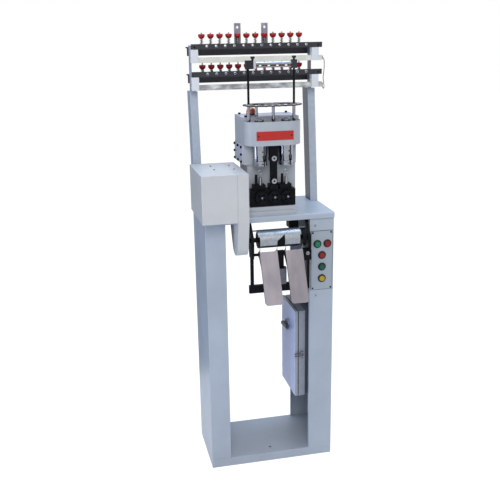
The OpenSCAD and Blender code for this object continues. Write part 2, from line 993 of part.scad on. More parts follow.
module cylinder_sleeves() {
    bore = cylinder_d + free_gap * 2;
    color([0.80, 0.81, 0.84])
    at_cylinders()
        difference() {
            union() {
                rod_z(0, 0, neck_z, band_z, sleeve_d);
                for (z = [neck_z, band_z - sleeve_rim_h])
                    intersection() {
                        rod_z(0, 0, z, z + sleeve_rim_h, sleeve_d + sleeve_rim_out * 2);
                        box(-sleeve_d, sleeve_d, -sleeve_d, neck_y - cyl_y - seam, z, z + sleeve_rim_h);
                    }
            }
            rod_z(0, 0, neck_z - over, band_z + over, bore);
            box(-window_w / 2, window_w / 2, -sleeve_d, 0, neck_z + window_z, neck_z + window_z + window_h);
        }
}

takeup_h = 74;
takeup_low_h = 58;
gear_front = 8;
gear_t = 9;
gear_rise = 33;
gear_gap = 1;
block_z1 = column_z + takeup_h;
gear_y0 = head_y0 + gear_front;
gear_y1 = gear_y0 + gear_t;
gear_z = column_z + gear_rise;
block_y0 = gear_y1 + gear_gap;

bracket_front = 20;
bracket_t = 12;
bracket_w = 24;
bracket_top = 30;
bracket_top_h = 38;
bracket_arm_h = 12;
boss_drop = 45;
boss_rise = 14;
boss_zs = [band_z - boss_drop, block_z1 + boss_rise];
boss_ds = [34, 26];
boss_out = 5;
collar_boss_d = 19;

module centre_bracket() {
    y0 = head_y0 + bracket_front;
    y1 = y0 + bracket_t;
    color([0.10, 0.10, 0.11]) {
        box(heads_x - bracket_top / 2, heads_x + bracket_top / 2, y0, y1, band_z - bracket_top_h, band_z);
        box(heads_x - bracket_w / 2, heads_x + bracket_w / 2, y0, y1, block_z1, band_z);
        box(heads_x - bracket_w / 2, heads_x + bracket_w / 2, y0, neck_y, band_z - bracket_arm_h, band_z);
        for (i = [0, 1])
            translate([heads_x, 0, boss_zs[i]]) {
                rod_y(0, y0, y1, 0, boss_ds[i]);
                rod_y(0, y0 - boss_out, y0, 0, collar_boss_d);
            }
    }
}

takeup_in = 14;
takeup_in_r = 24;
takeup_mid_w = 28;
takeup_back = 8;
cheek_l = 24;
cheek_r = 18;
cheek_step = 6;
stud_left = 14;
stud_d = 9;
stud_h = 36;
stud_back = 14;
axle_d = 8;
axle_l = 18;
axle_room = 2;
cord_hole_d = 10;
cord_hole_right = 11;

module takeup_block() {
    color([0.11, 0.11, 0.12])
    difference() {
        union() {
            box(head_x0 + takeup_in, head_x1 - takeup_in_r, block_y0, neck_y + takeup_back,
                column_z, column_z + takeup_low_h);
            box(heads_x - takeup_mid_w / 2, heads_x + takeup_mid_w / 2, block_y0, neck_y + takeup_back,
                column_z, block_z1);
            for (s = [-1, 1])
                translate([heads_x + s * cylinder_gap / 2, 0, 0]) {
                    box(-cheek_l, cheek_r, block_y0 + cheek_step, neck_y + takeup_back, column_z, block_z1);
                    rod_z(-stud_left, block_y0 + stud_back, block_z1 - over, block_z1 + stud_h, stud_d);
                }
        }
        for (s = [-1, 0, 1])
            rod_y(heads_x + s * cylinder_gap / 2, block_y0 - over, block_y0 + axle_l + axle_room,
                gear_z, axle_d);
        at_cylinders()
            rod_z(cord_hole_right, 0, column_z + takeup_low_h, block_z1 + over, cord_hole_d);
    }
}

gear_teeth = 20;
gear_m = cylinder_gap / 2 / gear_teeth;
tooth_deg = 360 / gear_teeth;
tip_share = 0.9;
root_share = 1.2;
tooth_shares = [-0.33, -0.22, -0.1, 0.1, 0.22, 0.33];
gear_hole_d = 6;
gear_hole_share = 0.55;
gear_hub_d = 12;
gear_hub_h = 4;

module gear(x, turn) {
    r = cylinder_gap / 4;
    tip = r + gear_m * tip_share;
    root = r - gear_m * root_share;
    radii = [root, r, tip, tip, r, root];
    color([0.13, 0.13, 0.14])
    translate([x, 0, gear_z]) {
        xz(gear_y0, gear_t)
            rotate(turn)
                difference() {
                    polygon([for (i = [0:gear_teeth - 1]) for (k = [0:len(radii) - 1])
                        let (a = (i + tooth_shares[k]) * tooth_deg)
                        radii[k] * [cos(a), sin(a)]]);
                    for (a = [45:90:315])
                        translate(r * gear_hole_share * [cos(a), sin(a)])
                            circle(d = gear_hole_d);
                }
        rod_y(0, gear_y0 - gear_hub_h, gear_y0, 0, gear_hub_d);
        rod_y(0, gear_y0, block_y0 + axle_l, 0, axle_d - run_gap * 2);
    }
}

module left_gear() {
    gear(heads_x - cylinder_gap / 2, tooth_deg / 2);
}

module centre_gear() {
    gear(heads_x, 0);
}

module right_gear() {
    gear(heads_x + cylinder_gap / 2, tooth_deg / 2);
}

hook_back = 13;
hook_foot_d = 11;
hook_foot_h = 26;
hook_stem_h = 39;
hook_wire_d = 3;
hook_ring_r = 7;

module thread_hooks() {
    color([0.80, 0.81, 0.83])
    for (s = [-1, 1])
        translate([heads_x + s * cylinder_gap / 2, block_y0 + hook_back, block_z1]) {
            cylinder(h = hook_foot_h, d = hook_foot_d);
            cylinder(h = hook_stem_h, d = hook_wire_d);
            translate([0, 0, hook_stem_h + hook_ring_r - hook_wire_d / 2])
                rotate([90, 0, 0])
                    rotate_extrude()
                        translate([hook_ring_r, 0])
                            circle(d = hook_wire_d);
        }
}

// Drive
module motor_box() {
    color([0.74, 0.74, 0.74])
    difference() {
        box(box_x0, box_x1, box_y0, box_y1, table_z, box_z1);
        box(box_x0 + box_t, box_x1 - box_t, box_y0 + box_t, box_y1 - box_t, table_z + box_t, box_z1 - box_t);
        rod_x(box_x1 - box_t - over, box_x1 + over, up_axis_y, up_axis_z, shaft_hole_d);
    }
}

function arc(c, r, a0, a1, n) =
    [for (i = [0:n]) c + r * [cos(a0 + (a1 - a0) * i / n), sin(a0 + (a1 - a0) * i / n)]];

module guard_shape(inset) {
    r = guard_low_r - inset;
    low = [drum_y, drum_z];
    knee = [box_y0 + inset, table_z];
    heel = [guard_back - inset, table_z + inset];
    from_heel = heel - low;
    from_knee = knee - low;
    start = atan2(from_heel[1], from_heel[0]) - acos(r / norm(from_heel));
    stop = atan2(from_knee[1], from_knee[0]) + acos(r / norm(from_knee)) - 360;
    polygon(concat([[box_y0 + inset, box_z1 - inset], [box_y1 - inset, box_z1 - inset],
        [box_y1 - inset, table_z + inset], heel], arc(low, r, start, stop, 40), [knee]));
}

module belt_guard() {
    color([0.76, 0.76, 0.76])
    difference() {
        yz(guard_x0, guard_w)
            guard_shape(0);
        yz(guard_x0 + box_t, guard_w - box_t * 2)
            guard_shape(box_t);
        rod_x(guard_x0 - over, guard_x1 + over, up_axis_y, up_axis_z, shaft_hole_d);
        rod_x(guard_x1 - box_t - over, guard_x1 + over, drum_y, drum_z, shaft_hole_d);
    }
}

motor_d = 108;
motor_in_l = 4;
motor_in_r = 6;
motor_foot_in = 14;
motor_foot_w = 90;
motor_bore_l = 40;
motor_x0 = box_x0 + box_t + motor_in_l;
motor_x1 = box_x1 - box_t - motor_in_r;

module motor() {
    color([0.30, 0.33, 0.38])
    difference() {
        union() {
            rod_x(motor_x0, motor_x1, up_axis_y, up_axis_z, motor_d);
            box(motor_x0 + motor_foot_in, motor_x1 - motor_foot_in, up_axis_y - motor_foot_w / 2,
                up_axis_y + motor_foot_w / 2, table_z + box_t, up_axis_z);
        }
        rod_x(motor_x1 - motor_bore_l, motor_x1 + over, up_axis_y, up_axis_z, shaft_d);
    }
}

shaft_end_gap = 4;
shaft_in_head = 52;
light_hole_d = 8;
light_hole_r = 18;

// A flat-belt pulley about the X axis, with a flange on each side
module pulley(y, z, d) {
    x0 = belt_x - belt_w / 2;
    x1 = belt_x + belt_w / 2;
    rod_x(x0 - flange_t, x0, y, z, d + flange_out * 2);
    rod_x(x0, x1, y, z, d);
    rod_x(x1, x1 + flange_t, y, z, d + flange_out * 2);
}

module drive_shaft() {
    color([0.55, 0.56, 0.58])
    difference() {
        union() {
            rod_x(motor_x1 - motor_bore_l + shaft_end_gap, head_x0 + shaft_in_head, up_axis_y, up_axis_z,
                shaft_d - run_gap * 2);
            pulley(up_axis_y, up_axis_z, up_pulley_d);
        }
        translate([0, up_axis_y, up_axis_z])
            for (a = [0:60:300])
                rotate([a, 0, 0])
                    rod_x(belt_x - belt_w, belt_x + belt_w, light_hole_r, 0, light_hole_d);
    }
}

module belt_shape(g) {
    c1 = [up_axis_y, up_axis_z];
    c2 = [drum_y, drum_z];
    r1 = up_pulley_d / 2 + g;
    r2 = low_pulley_d / 2 + g;
    d = c2 - c1;
    phi = atan2(d[1], d[0]);
    a = acos((r1 - r2) / norm(d));
    polygon(concat(arc(c1, r1, phi + a, phi + 360 - a, 24), arc(c2, r2, phi - a, phi + a, 24)));
}

module drive_belt() {
    color([0.08, 0.08, 0.08])
    yz(belt_x - belt_w / 2 + free_gap, belt_w - free_gap * 2)
        difference() {
            belt_shape(free_gap + belt_t);
            belt_shape(free_gap);
        }
}

// Take-down
drum_in = 3;
wheel_gap = 6;
wheel_w = 14;
wheel_in = 4;
wheel_flute_d = 4;
wheel_flute_in = 3;

module takedown_drum() {
    wheel_x = hood_x1 + wheel_gap;
    color([0.20, 0.20, 0.22]) {
        rod_x(guard_x0 + box_t + shaft_end_gap, arm_x1 + arm_t + drum_in, drum_y, drum_z,
            shaft_d - run_gap * 2);
        pulley(drum_y, drum_z, low_pulley_d);
        rod_x(hood_x0 + drum_in, hood_x1 - drum_in, drum_y, drum_z, drum_r * 2);
        difference() {
            rod_x(wheel_x, wheel_x + wheel_w, drum_y, drum_z, (hood_r - wheel_in) * 2);
            translate([0, drum_y, drum_z])
                for (a = [0:15:345])
                    rotate([a, 0, 0])
                        rod_x(wheel_x - over, wheel_x + wheel_w + over, hood_r - wheel_flute_in, 0,
                            wheel_flute_d);
        }
    }
}

module hood_sector(a0, a1) {
    far = hood_r * 2;
    intersection() {
        difference() {
            circle(r = hood_r);
            circle(r = hood_r - hood_t);
        }
        polygon(concat([[0, 0]], arc([0, 0], far, a0, a1, 6)));
    }
}

hood_from = 45;
hood_to = 205;
hood_tab_to = 72;
notch_w_l = 14;
notch_w_r = 15;
notch_slant = 2;
notch_top_share = 0.62;
notch_low_share = 0.05;
notch_back = 8;
nick_w = 5;
nick_share = 1.5;

module drum_hood() {
    mid = (hood_x0 + hood_x1) / 2 + notch_slant;
    color([0.74, 0.77, 0.80])
    translate([0, drum_y, drum_z])
    difference() {
        union() {
            yz(hood_x0, hood_l)
                hood_sector(hood_from, hood_to);
            yz(arm_x0 + arm_t, arm_x1 - arm_x0 - arm_t)
                hood_sector(hood_from, hood_tab_to);
        }
        xz(-hood_r * 2, hood_r * 2 - notch_back)
            polygon([[mid - notch_w_l, -hood_r], [mid + notch_w_r, -hood_r],
                [mid + notch_w_r, hood_r * notch_top_share],
                [mid - notch_w_l + notch_slant, hood_r * notch_low_share]]);
        xz(-hood_r * 2, hood_r * 2 - notch_back)
            for (x = [hood_x0 - over, hood_x1 - nick_w])
                translate([x, -hood_r])
                    square([nick_w + over, hood_r * nick_share]);
    }
}

rail_d = 10;
chute_t = 1.5;
chute_edge = 8;
chute_r = 10;
chute_rail = [-10, -50];
chute_set = 3;
chute_top = [chute_set - hood_r, -hood_r];
chute_down = [-sin(chute_deg), -cos(chute_deg)];
chute_in = [cos(chute_deg), -sin(chute_deg)];
ear_share = 0.3;
ear_set = 1;
ear_fore = [hood_r - ear_set, 27, 14, 2, 2, 18];
ear_drop = [17, 30, 39, 42, 58, 60];

// A folded chute: a plate with rounded lower corners and two edges with ears on the rail
module chute(x0) {
    back = chute_top + chute_in * chute_edge;
    lap = chute_top + chute_in * chute_t / 2;
    low = chute_l - chute_r;
    ear = [for (i = [0:len(ear_fore) - 1]) [-ear_fore[i], -ear_drop[i]]];
    color([0.80, 0.78, 0.79])
    translate([x0, drum_y, drum_z]) {
        translate([0, chute_top[0], chute_top[1]])
            rotate([-chute_deg, 0, 0])
                xz(0, chute_t)
                    polygon(concat([[chute_w, 0], [0, 0]],
                        arc([chute_r, -low], chute_r, 180, 270, 6),
                        arc([chute_w - chute_r, -low], chute_r, 270, 360, 6)));
        for (x = [0, chute_w - chute_t])
            yz(x, chute_t)
                difference() {
                    polygon(concat([lap], ear, [back + chute_down * chute_l * ear_share,
                        back + chute_down * low, lap + chute_down * low]));
                    translate(chute_rail)
                        circle(d = rail_d + seam * 2);
                }
    }
}

module left_chute() {
    chute(chute_mid - chute_gap / 2 - chute_w);
}

module right_chute() {
    chute(chute_mid + chute_gap / 2);
}

bearing_d = 52;
leg_fore = 13;
leg_d = 14;
cross_h = 28;
cross_over = 6;
strut_w = 22;
strut_d = 12;
strut_fore = 16;
strut_h = 52;
strut_right = 2;
spacer_d = 30;
spacer_right = 8;
hanger_fore = 30;
hanger_back = 78;
hanger_low = [20, -16];
hanger_knee = [14, 8];
hanger_chin = [-16, 20];
web_top = 26;
web_low_f = 22;
web_low_b = 12;
web_drop = 62;
bridge_w = 51;
pillow_w = 34;
pillow_drop = 36;
bridge_fore = 38;
bridge_d = 38;
lug_w = 28;
lug_fore = 34;
lug_h = 36;
lug_drop = 40;

module takedown_frame() {
    under = table_z - table_skin;
    rail_y = drum_y + chute_rail[0];
    rail_z = drum_z + chute_rail[1];
    leg_y = drum_y - leg_fore;
    color([0.10, 0.10, 0.11])
    difference() {
        union() {
            for (x = [arm_x0, arm_x1])
                yz(x, arm_t) {
                    translate([drum_y, drum_z])
                        circle(d = bearing_d);
                    polygon([[drum_y + hanger_low[0], drum_z + hanger_low[1]], [drum_y + hanger_back, under],
                        [drum_y + hanger_fore, under], [drum_y + hanger_knee[0], table_under - hanger_knee[1]],
                        [drum_y + hanger_chin[0], drum_z + hanger_chin[1]]]);
                    translate([leg_y, cross_z - cross_h / 2])
                        square([leg_d, drum_z - cross_z + cross_h / 2]);
                    polygon([[drum_y - web_top, drum_z], [drum_y - web_low_f, drum_z - web_drop],
                        [drum_y + web_low_b, drum_z - web_drop], [drum_y + web_top, drum_z]]);
                }
            box(arm_x0 - cross_over, arm_x1 + arm_t, leg_y, leg_y + leg_d,
                cross_z - cross_h / 2, cross_z + cross_h / 2);
            rod_x(arm_x0, arm_x1 + arm_t, rail_y, rail_z, rail_d);
            translate([chute_mid + strut_right - strut_w / 2, drum_y - strut_fore, rail_z - strut_h])
                cube([strut_w, strut_d, strut_h + rail_d]);
            rod_z(chute_mid + spacer_right, drum_y - strut_fore + strut_d / 2, cross_z, rail_z - strut_h + over, spacer_d);
            translate([arm_x1 - bridge_w, drum_y + bridge_fore, table_under]) {
                cube([bridge_w + over, bridge_d, table_t - table_skin]);
                translate([0, 0, -pillow_drop])
                    cube([pillow_w, bridge_d, pillow_drop + table_t - table_skin]);
            }
            box(arm_x1 + arm_t - lug_w, arm_x1 + arm_t, drum_y - lug_fore, drum_y,
                drum_z - lug_drop - lug_h, drum_z - lug_drop);
        }
        rod_x(arm_x0 - over, arm_x1 + arm_t + over, drum_y, drum_z, shaft_d);
    }
}

// Controls
module control_panel() {
    color([0.78, 0.81, 0.85])
    difference() {
        box(panel_x - panel_w / 2, panel_x + panel_w / 2, y_f - panel_t, y_f, panel_z1 - panel_h, panel_z1);
        for (i = [0:4])
            rod_y(panel_x + button_x[i], y_f - panel_t - over, y_f + over,
                panel_z1 + button_z[i], barrel_d + free_gap * 2);
    }
}

bezel_rim_share = 0.6;
bezel_top_share = 0.44;

module button_bezels() {
    hole = button_d / 2 + free_gap;
    color([0.10, 0.10, 0.11])
    for (i = [0:4])
        translate([panel_x + button_x[i], y_f - panel_t, panel_z1 + button_z[i]])
            rotate([90, 0, 0])
                rotate_extrude()
                    polygon([[0, -barrel_l], [barrel_d / 2, -barrel_l], [barrel_d / 2, 0], [bezel_d / 2, 0],
                        [bezel_d / 2, bezel_h * bezel_rim_share], [bezel_d * bezel_top_share, bezel_h],
                        [hole, bezel_h], [hole, barrel_floor - barrel_l], [0, barrel_floor - barrel_l]]);
}

module button(i, tint) {
    foot = barrel_floor + button_travel + over - barrel_l;
    color(tint)
    translate([panel_x + button_x[i], y_f - panel_t, panel_z1 + button_z[i]])
        rotate([90, 0, 0])
            translate([0, 0, foot])
                cylinder(h = bezel_h + cap_out - foot, d = button_d);
}

module start_button() {
    button(0, [0.05, 0.55, 0.32]);
}

module stop_button() {
    button(1, [0.67, 0.05, 0.06]);
}

module reset_button() {
    button(2, [0.70, 0.16, 0.08]);
}

module run_button() {
    button(3, [0.06, 0.38, 0.30]);
}

module jog_button() {
    button(4, [0.80, 0.68, 0.08]);
}

hinge_back = 5;
hinge_in = 40;
hinge_d = 8;
hinge_pin_d = 4;
knuckle_h = 12;
strap_t = 2.5;
strap_x0 = 10;
strap_x1 = 18;
hinge_x = door_x0 + door_t / 2;
hinge_y = cab_y1 + hinge_back;
hinge_zs = [cab_z0 + hinge_in, cab_z1 - hinge_in];

latch_in = 12;
latch_out = 6;
latch_x = cab_x0 + latch_in;
latch_y = cab_y0 - latch_out;
keeper_t = 2;
keeper_h = 10;
keeper_l = 5;
keeper_r = 7;
cheek_t = 3;
cheek_out = 4;
latch_pin_d = 4;

module cabinet_body() {
    color([0.80, 0.81, 0.83]) {
        difference() {
            union() {
                box(cab_x0, cab_x0 + case_w, cab_y0, cab_y1, cab_z0, cab_z1);
                box(cab_x0 + case_w - over, cab_x1, cab_y0 + case_step, cab_y1, cab_z0, cab_z1);
            }
            box(cab_x0 - over, cab_x0 + case_w - cab_t, cab_y0 + cab_t, cab_y1 - cab_t, cab_z0 + cab_t, cab_z1 - cab_t);
            box(cab_x0, cab_x1 - cab_t, cab_y0 + case_step + cab_t, cab_y1 - cab_t, cab_z0 + cab_t, cab_z1 - cab_t);
        }
        for (z = hinge_zs) {
            rod_z(hinge_x, hinge_y, z - knuckle_h, z, hinge_d);
            rod_z(hinge_x, hinge_y, z - over, z + knuckle_h, hinge_pin_d);
            box(hinge_x, cab_x0 + strap_x1, hinge_y + hinge_d / 2 - strap_t,
                hinge_y + hinge_d / 2, z - knuckle_h, z);
            box(cab_x0 + strap_x0, cab_x0 + strap_x1, cab_y1 - over, hinge_y + hinge_d / 2, z - knuckle_h, z);
        }
        box(latch_x - keeper_l, latch_x + keeper_r, cab_y0 - keeper_t, cab_y0 + over,
            latch_z - keeper_h, latch_z + keeper_h);
        for (z = [latch_z - keeper_h, latch_z + keeper_h - cheek_t])
            difference() {
                box(latch_x - keeper_l, latch_x + keeper_l, latch_y - cheek_out,
                    cab_y0 - keeper_t + over, z, z + cheek_t);
                rod_z(latch_x, latch_y, z - over, z + cheek_t + over, latch_pin_d);
            }
    }
}

stem_d = 8;
stud_out = 8;
stud_pin_d = 5;
knuckle_gap = 0.2;

module cabinet_door() {
    color([0.74, 0.77, 0.86])
    difference() {
        union() {
            box(door_x0, door_x0 + door_t, cab_y0, cab_y1, cab_z0, cab_z1);
            for (z = hinge_zs) {
                rod_z(hinge_x, hinge_y, z + knuckle_gap, z + knuckle_h, hinge_d);
                box(door_x0 + over, hinge_x, cab_y1 - over, hinge_y, z + knuckle_gap, z + knuckle_h);
            }
            rod_y(door_x0 + door_t / 2, cab_y0 - stud_out, cab_y0 + over, latch_z, stud_pin_d);
        }
        box(door_x0 + cab_t, door_x0 + door_t + over, cab_y0 + cab_t, cab_y1 - cab_t,
            cab_z0 + cab_t, cab_z1 - cab_t);
        for (z = hinge_zs)
            rod_z(hinge_x, hinge_y, z - over, z + knuckle_h + over, hinge_pin_d + run_gap * 2);
        rod_x(door_x0 - over, door_x0 + cab_t + over, handle_y, handle_z, stem_d);
    }
}

rose_d = 46;
rose_t = 6;
grip_w = 12;
grip_l = 70;
grip_t = 12;
grip_deg = 84;
stem_l = 6.5;

module switch_handle() {
    color([0.10, 0.10, 0.12])
    translate([door_x0, handle_y, handle_z]) {
        rod_x(-rose_t - seam, -seam, 0, 0, rose_d);
        rotate([grip_deg, 0, 0])
            box(-rose_t - grip_t, -rose_t, -grip_w / 2, grip_w / 2, -grip_l / 2, grip_l / 2);
        rod_x(-seam * 2, stem_l, 0, 0, stem_d - run_gap * 2);
    }
}

fork_out = 4;
fork_t = 3;
fork_gap = 0.5;
fork_h = 13;
fork_slot = 6;
barrel_gap = 0.2;
latch_barrel_d = 7;
latch_pin_l = 26;

module door_latch() {
    barrel_z = keeper_h - cheek_t - barrel_gap;
    color([0.72, 0.73, 0.75])
    difference() {
        union() {
            rod_z(latch_x, latch_y, latch_z - barrel_z, latch_z + barrel_z, latch_barrel_d);
            rod_z(latch_x, latch_y, latch_z - latch_pin_l / 2, latch_z + latch_pin_l / 2,
                latch_pin_d - run_gap * 2);
            box(door_x0 - fork_out, latch_x, latch_y - fork_gap - fork_t, latch_y - fork_gap,
                latch_z - fork_h / 2, latch_z + fork_h / 2);
        }
        box(door_x0 - fork_out - over, door_x0 + door_t + over, latch_y - fork_gap - fork_t - over,
            latch_y + over, latch_z - fork_slot / 2, latch_z + fork_slot / 2);
    }
}

// Fasteners
head_h_share = 0.62;
key_z_share = 0.3;
key_d_share = 0.52;
cover_head_d = 9;
side_head_d = 8.5;

module socket_head(d) {
    difference() {
        cylinder(h = d * head_h_share, d = d);
        translate([0, 0, d * key_z_share])
            cylinder(h = d, d = d * key_d_share, $fn = 6);
    }
}

module socket_screws() {
    color([0.09, 0.09, 0.10]) {
        at_cover_screws() {
            rod_z(0, 0, -bolt_l, cover_t, bolt_d);
            translate([0, 0, cover_t])
                socket_head(cover_head_d);
        }
        at_side_screws() {
            rod_x(-side_t, bolt_l, 0, 0, bolt_d);
            translate([-side_t, 0, 0])
                rotate([0, -90, 0])
                    socket_head(side_head_d);
        }
        at_rivets() {
            rod_y(0, -name_t, rivet_l - over, 0, rivet_d);
            rod_y(0, -name_t - rivet_head_h, -name_t, 0, rivet_head_d);
        }
    }
}

base_tray();
left_column();
right_column();
table_top();
creel_posts();
side_plates();
end_blocks();
guide_bars();
guide_eyelets();
tension_bars();
tension_pins();
tension_springs();
tension_knobs();
stop_tubes();
stop_wire();
guide_rods();
rod_clamps();
left_thumb_screw();
right_thumb_screw();
cross_rods();
guide_plate();
guide_posts();
lamp_base();
lamp_dome();
head_casting();
head_housing();
head_cover();
side_cover();
name_plate();
left_cylinder();
right_cylinder();
cylinder_sleeves();
centre_bracket();
takeup_block();
left_gear();
centre_gear();
right_gear();
thread_hooks();
motor_box();
belt_guard();
motor();
drive_shaft();
drive_belt();
takedown_drum();
drum_hood();
left_chute();
right_chute();
takedown_frame();
control_panel();
button_bezels();
start_button();
stop_button();
reset_button();
run_button();
jog_button();
cabinet_body();
cabinet_door();
switch_handle();
door_latch();
socket_screws();
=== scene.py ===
# %% [markdown]
# # A twin-head cord braiding machine, dressed for a picture
#
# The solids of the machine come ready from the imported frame: every sheet, bar, gear and knob is
# already in place, in metres, with +Z up and the operator standing at -Y. This lesson gives them
# their finishes, softens their edges, and adds the small turned and wound pieces that a solid
# modeller leaves plain: springs, fluted knobs, ceramic eyes, screws and the lead of the stop motion.

import json
import math

import bmesh
import bpy
import numpy as np
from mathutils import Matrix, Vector


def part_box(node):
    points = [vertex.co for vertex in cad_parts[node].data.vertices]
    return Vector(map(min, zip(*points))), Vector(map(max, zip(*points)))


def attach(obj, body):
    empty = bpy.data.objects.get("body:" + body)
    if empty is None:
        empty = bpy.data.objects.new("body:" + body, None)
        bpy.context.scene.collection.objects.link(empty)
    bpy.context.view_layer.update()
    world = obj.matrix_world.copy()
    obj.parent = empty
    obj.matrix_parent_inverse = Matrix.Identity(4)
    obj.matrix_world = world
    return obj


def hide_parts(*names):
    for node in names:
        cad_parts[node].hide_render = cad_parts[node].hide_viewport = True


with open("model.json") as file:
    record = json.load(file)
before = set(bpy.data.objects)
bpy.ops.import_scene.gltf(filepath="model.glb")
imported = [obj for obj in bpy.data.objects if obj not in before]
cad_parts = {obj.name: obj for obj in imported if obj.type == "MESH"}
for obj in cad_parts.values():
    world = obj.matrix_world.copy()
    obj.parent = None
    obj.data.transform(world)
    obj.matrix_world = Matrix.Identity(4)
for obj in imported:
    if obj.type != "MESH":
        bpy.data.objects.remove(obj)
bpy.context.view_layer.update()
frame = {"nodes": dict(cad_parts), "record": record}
nodes = frame["nodes"]
body_of_node = {n: b for b, ns in frame["record"]["behaviour"]["bodies"].items() for n in ns}
MM = 0.001
print("nodes in the frame:", len(nodes))

# %% [markdown]
# ## Finishes
#
# A workshop machine wears paints, bare metals and plastics. Each is a Principled shader whose colour,
# roughness and bump come from noise on Object coordinates, so the pattern has a real size: one
# unit of the noise scale is one cycle per metre. The colours are given as they look on a screen and
# turned into the linear values that the shader wants.


# %% Helpers for the finishes
def linear(colour):
    """Screen colour to linear light: ((c + 0.055) / 1.055) to the power 2.4, straight below 0.04."""
    c = np.asarray(colour, float)
    low = c / 12.92
    high = ((c + 0.055) / 1.055) ** 2.4
    return tuple(np.where(c <= 0.04045, low, high)) + (1.0,)


CLOUD_STOPS = (0.32, 0.68)
TONE_EDGE = 0.5 * MM
MIX_COLOUR_IN = (0, 6, 7)
MIX_COLOUR_OUT = 2


class Finish:
    """A material under construction: the shader, and short ways to feed its sockets from noise."""

    def __init__(self, name, metallic=0.0, coat=0.0, coat_rough=0.1, specular=0.5):
        self.material = bpy.data.materials.new(name)
        self.material.use_nodes = True
        self.tree = self.material.node_tree
        self.shader = self.tree.nodes["Principled BSDF"]
        self.set("Metallic", metallic)
        self.set("Coat Weight", coat)
        self.set("Coat Roughness", coat_rough)
        self.set("Specular IOR Level", specular)
        self.place = self.tree.nodes.new("ShaderNodeTexCoord").outputs["Object"]

    def set(self, socket, value):
        self.shader.inputs[socket].default_value = value

    def node(self, kind, **inputs):
        made = self.tree.nodes.new(kind)
        for key, value in inputs.items():
            socket = made.inputs[key.replace("_", " ")]
            if isinstance(value, bpy.types.NodeSocket):
                self.tree.links.new(value, socket)
            else:
                socket.default_value = value
        return made

    def stretched(self, scale):
        """Object coordinates multiplied along X, Y and Z, which draws noise out into strokes."""
        return self.node("ShaderNodeMapping", Vector=self.place, Scale=scale).outputs["Vector"]

    def noise(self, scale, detail=3.0, rough=0.55, vector=None):
        made = self.node("ShaderNodeTexNoise", Vector=vector or self.place, Scale=scale,
                         Detail=detail, Roughness=rough)
        return made.outputs["Fac"]

    def ramp(self, factor, stops):
        """A colour for each place on the factor: stops are (place, screen colour) pairs."""
        made = self.node("ShaderNodeValToRGB", Fac=factor)
        band = made.color_ramp
        while len(band.elements) < len(stops):
            band.elements.new(0.5)
        for element, (place, colour) in zip(band.elements, stops):
            element.position = place
            element.color = linear(colour)
        return made.outputs["Color"]

    def spread(self, factor, low, high):
        made = self.node("ShaderNodeMapRange", Value=factor, To_Min=low, To_Max=high)
        return made.outputs["Result"]

    def beyond(self, axis, edge):
        """Zero below the edge along X, Y or Z and one beyond it, over half a millimetre."""
        along = self.node("ShaderNodeSeparateXYZ", Vector=self.place).outputs[axis]
        return self.node("ShaderNodeMapRange", Value=along, From_Min=edge - TONE_EDGE / 2,
                         From_Max=edge + TONE_EDGE / 2).outputs["Result"]

    def mixed(self, factor, low, high):
        """One colour where the factor is zero and the other where it is one."""
        made = self.tree.nodes.new("ShaderNodeMix")
        made.data_type = "RGBA"
        for source, place in zip((factor, low, high), MIX_COLOUR_IN):
            self.tree.links.new(source, made.inputs[place])
        return made.outputs[MIX_COLOUR_OUT]

    def clouds(self, colour, tint, scale, detail=3.0, vector=None):
        """A colour that is a little darker and a little lighter in clouds of the given scale."""
        c = np.asarray(colour, float)
        tones = np.clip([c * (1 - tint), c * (1 + tint)], 0, 1)
        return self.ramp(self.noise(scale, detail, vector=vector), list(zip(CLOUD_STOPS, tones)))

    def feed(self, socket, value):
        self.tree.links.new(value, self.shader.inputs[socket])

    def colour_noise(self, colour, tint, scale, detail=4.0, vector=None):
        self.feed("Base Color", self.clouds(colour, tint, scale, detail, vector))

    def rough_noise(self, low, high, scale, vector=None):
        self.feed("Roughness", self.spread(self.noise(scale, vector=vector), low, high))

    def bump_noise(self, height, scale, vector=None, detail=2.0):
        """Surface relief: noise whose full swing is the given height in metres."""
        made = self.node("ShaderNodeBump", Height=self.noise(scale, detail, vector=vector),
                         Distance=height, Strength=1.0)
        self.feed("Normal", made.outputs["Normal"])


finishes = {}


def keep(name, finish):
    finishes[name] = finish.material
    return finish


# %% [markdown]
# ### Paints
#
# The stand is folded sheet under a satin bluish grey paint. Sprayed paint is never quite even: it
# has slow clouds of tone and a fine orange-peel. The casting of the head carries the same kind of
# paint over sand-cast metal, so its relief is coarser. A picture of paint would need a mapping for
# every piece; noise in space needs none, and it runs on across pieces that touch.

# %% Paints
def paint(name, colour, tint=0.025, rough=(0.36, 0.50), peel=900.0, relief=0.012 * MM,
          cloud=7.0, patch=30.0):
    """Satin paint: clouds of tone, patches of gloss, and an orange-peel of the given relief."""
    f = keep(name, Finish(name, coat=0.08, coat_rough=0.3, specular=0.4))
    f.colour_noise(colour, tint, cloud)
    f.rough_noise(*rough, patch)
    f.bump_noise(relief, peel)


STAND_GREY = (0.625, 0.66, 0.71)
CAST_LOOK = dict(tint=0.03, rough=(0.32, 0.45), peel=420.0)
paint("stand_paint", STAND_GREY)
paint("table_paint", STAND_GREY)
paint("box_paint", (0.72, 0.722, 0.73))
paint("block_paint", (0.80, 0.81, 0.83))
paint("head_paint", (0.64, 0.66, 0.69), relief=0.03 * MM, **CAST_LOOK)
paint("side_paint", (0.68, 0.69, 0.75), relief=0.02 * MM, **CAST_LOOK)
paint("motor_paint", (0.30, 0.33, 0.38), tint=0.05, rough=(0.55, 0.7), peel=250.0, relief=0.06 * MM)
paint("panel_paint", (0.585, 0.62, 0.66), tint=0.015, rough=(0.30, 0.38), peel=1500.0, relief=0.004 * MM)
print("paints:", sorted(finishes))

